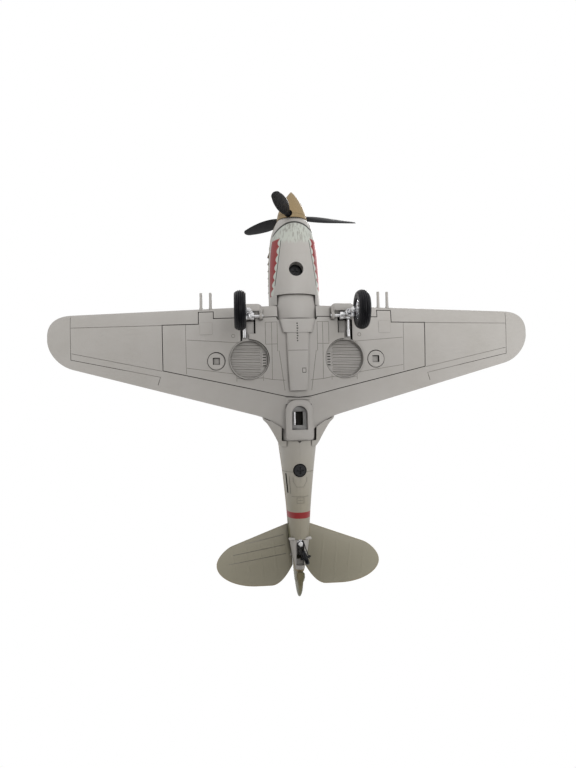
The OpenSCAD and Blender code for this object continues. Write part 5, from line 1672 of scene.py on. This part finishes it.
def arcs_round_axle():
    """Outline of a fork arm's round foot, about the tail wheel's axle."""
    return [(CASTER_TRAIL + cos(radians(a)), TAIL_WHEEL_Z + sin(radians(a)))
            for a in steps(75, -115, 15)]


# =========================== carried-over CAD nodes ===========================
def dress_cad():
    """Materials for the exact CAD pieces that keep their own shape."""
    looks = {CHROME: ("hinge_pin_left", "hinge_pin_right", "retraction_rod_left", "retraction_rod_right",
                      "tail_wheel_bush", "propeller_shaft", "shaft_collar"),
             DARK_METAL: ("tail_axle", "front_screw", "rear_screw", "radiator_core"),
             BLACK_PLASTIC_AND_HOLE_SHADE: ("nose_bearing",), PAINT_GREY: ("nose_bush",)}
    for material, nodes in looks.items():
        for node in nodes:
            mesh = frame["nodes"][node].data
            mesh.materials.clear()
            mesh.materials.append(material)


# =========================== scene ===========================
def camera():
    """Below the model and a little off its middle, looking straight up at the underside."""
    roll, pitch, twist = radians(-4.56), radians(-2.24), radians(-1.33)
    offset = Vector((3.8, 4.0, 273.3))
    turn = (Matrix.Rotation(twist, 3, "Z") @ Matrix.Rotation(pitch, 3, "X") @ Matrix.Rotation(roll, 3, "Y"))
    back = turn.transposed()
    centre = back @ -offset + Vector((0, 100, 0))
    right, up, forward = back @ Vector(PORT), back @ Vector(FORE), back @ Vector(UP)
    level = Matrix((right, up, -forward)).transposed().to_4x4()
    level.translation = centre
    placed = TO_ROW @ level
    data = bpy.data.cameras.new("Camera")
    data.lens, data.sensor_width = 26, 36
    data.clip_start, data.clip_end = 0.01, 20
    cam = bpy.data.objects.new("Camera", data)
    bpy.context.scene.collection.objects.link(cam)
    cam.matrix_world = Matrix.LocRotScale(placed.to_translation(), placed.to_quaternion().normalized(), None)
    bpy.context.scene.camera = cam


def area_light(name, place_mm, aim_mm, size_mm, power):
    data = bpy.data.lights.new(name, "AREA")
    data.shape, data.size, data.energy = "DISK", size_mm * MM, power
    lamp = bpy.data.objects.new(name, data)
    bpy.context.scene.collection.objects.link(lamp)
    start, end = TO_ROW @ Vector(place_mm), TO_ROW @ Vector(aim_mm)
    lamp.location = start
    lamp.rotation_mode = "QUATERNION"
    lamp.rotation_quaternion = (end - start).to_track_quat("-Z", "Y")


def floor():
    """Pale floor that only shows from above, so the underside can be looked at through it."""
    half = 1.6
    mesh = bpy.data.meshes.new("Floor")
    mesh.from_pydata([(-half, -half, 0), (half, -half, 0), (half, half, 0), (-half, half, 0)], [],
                     [(0, 1, 2, 3)])
    obj = bpy.data.objects.new("Floor", mesh)
    bpy.context.scene.collection.objects.link(obj)
    material = bpy.data.materials.new("Floor")
    material.use_nodes = True
    tree = material.node_tree
    shader = tree.nodes["Principled BSDF"]
    shader.inputs["Base Color"].default_value = (0.72, 0.72, 0.71, 1)
    shader.inputs["Roughness"].default_value = 0.8
    clear = tree.nodes.new("ShaderNodeBsdfTransparent")
    mix = tree.nodes.new("ShaderNodeMixShader")
    side = tree.nodes.new("ShaderNodeNewGeometry")
    tree.links.new(side.outputs["Backfacing"], mix.inputs[0])
    tree.links.new(shader.outputs[0], mix.inputs[1])
    tree.links.new(clear.outputs[0], mix.inputs[2])
    tree.links.new(mix.outputs[0], tree.nodes["Material Output"].inputs["Surface"])
    mesh.materials.append(material)
    obj.visible_shadow = False


def world():
    made = bpy.data.worlds.new("World")
    made.use_nodes = True
    sky = made.node_tree.nodes["Background"]
    sky.inputs["Color"].default_value = (1, 1, 1, 1)
    sky.inputs["Strength"].default_value = 1.0
    bpy.context.scene.world = made
    bpy.context.scene.view_settings.view_transform = "Standard"


camera()
floor()
world()
area_light("Key below", (80, 40, -420), (0, 90, 0), 260, 0.8)
area_light("Key above", (220, -160, 460), (0, 90, 0), 260, 2.2)

fuselage_halves()
chin_cowl()
radiator_flap()
wing_upper()
wing_lower()
for side_name, side in SIDES.items():
    for build in (wheel_well, jack_socket, gun_barrels, gear_fairing, tailplane, exhausts, cowl_gun,
                  gear_leg, gear_strut, wheel_hub, tyre):
        build(side_name, side)
stand_pad()
stand_clip()
place(rudder(), "rudder_skin", "airframe", ["rudder"])
tail_wheel_plate()
tail_gear()
canopy()
windscreen()
rear_glass()
cockpit()
intake_scoop()
spinner()
propeller()
dress_cad()
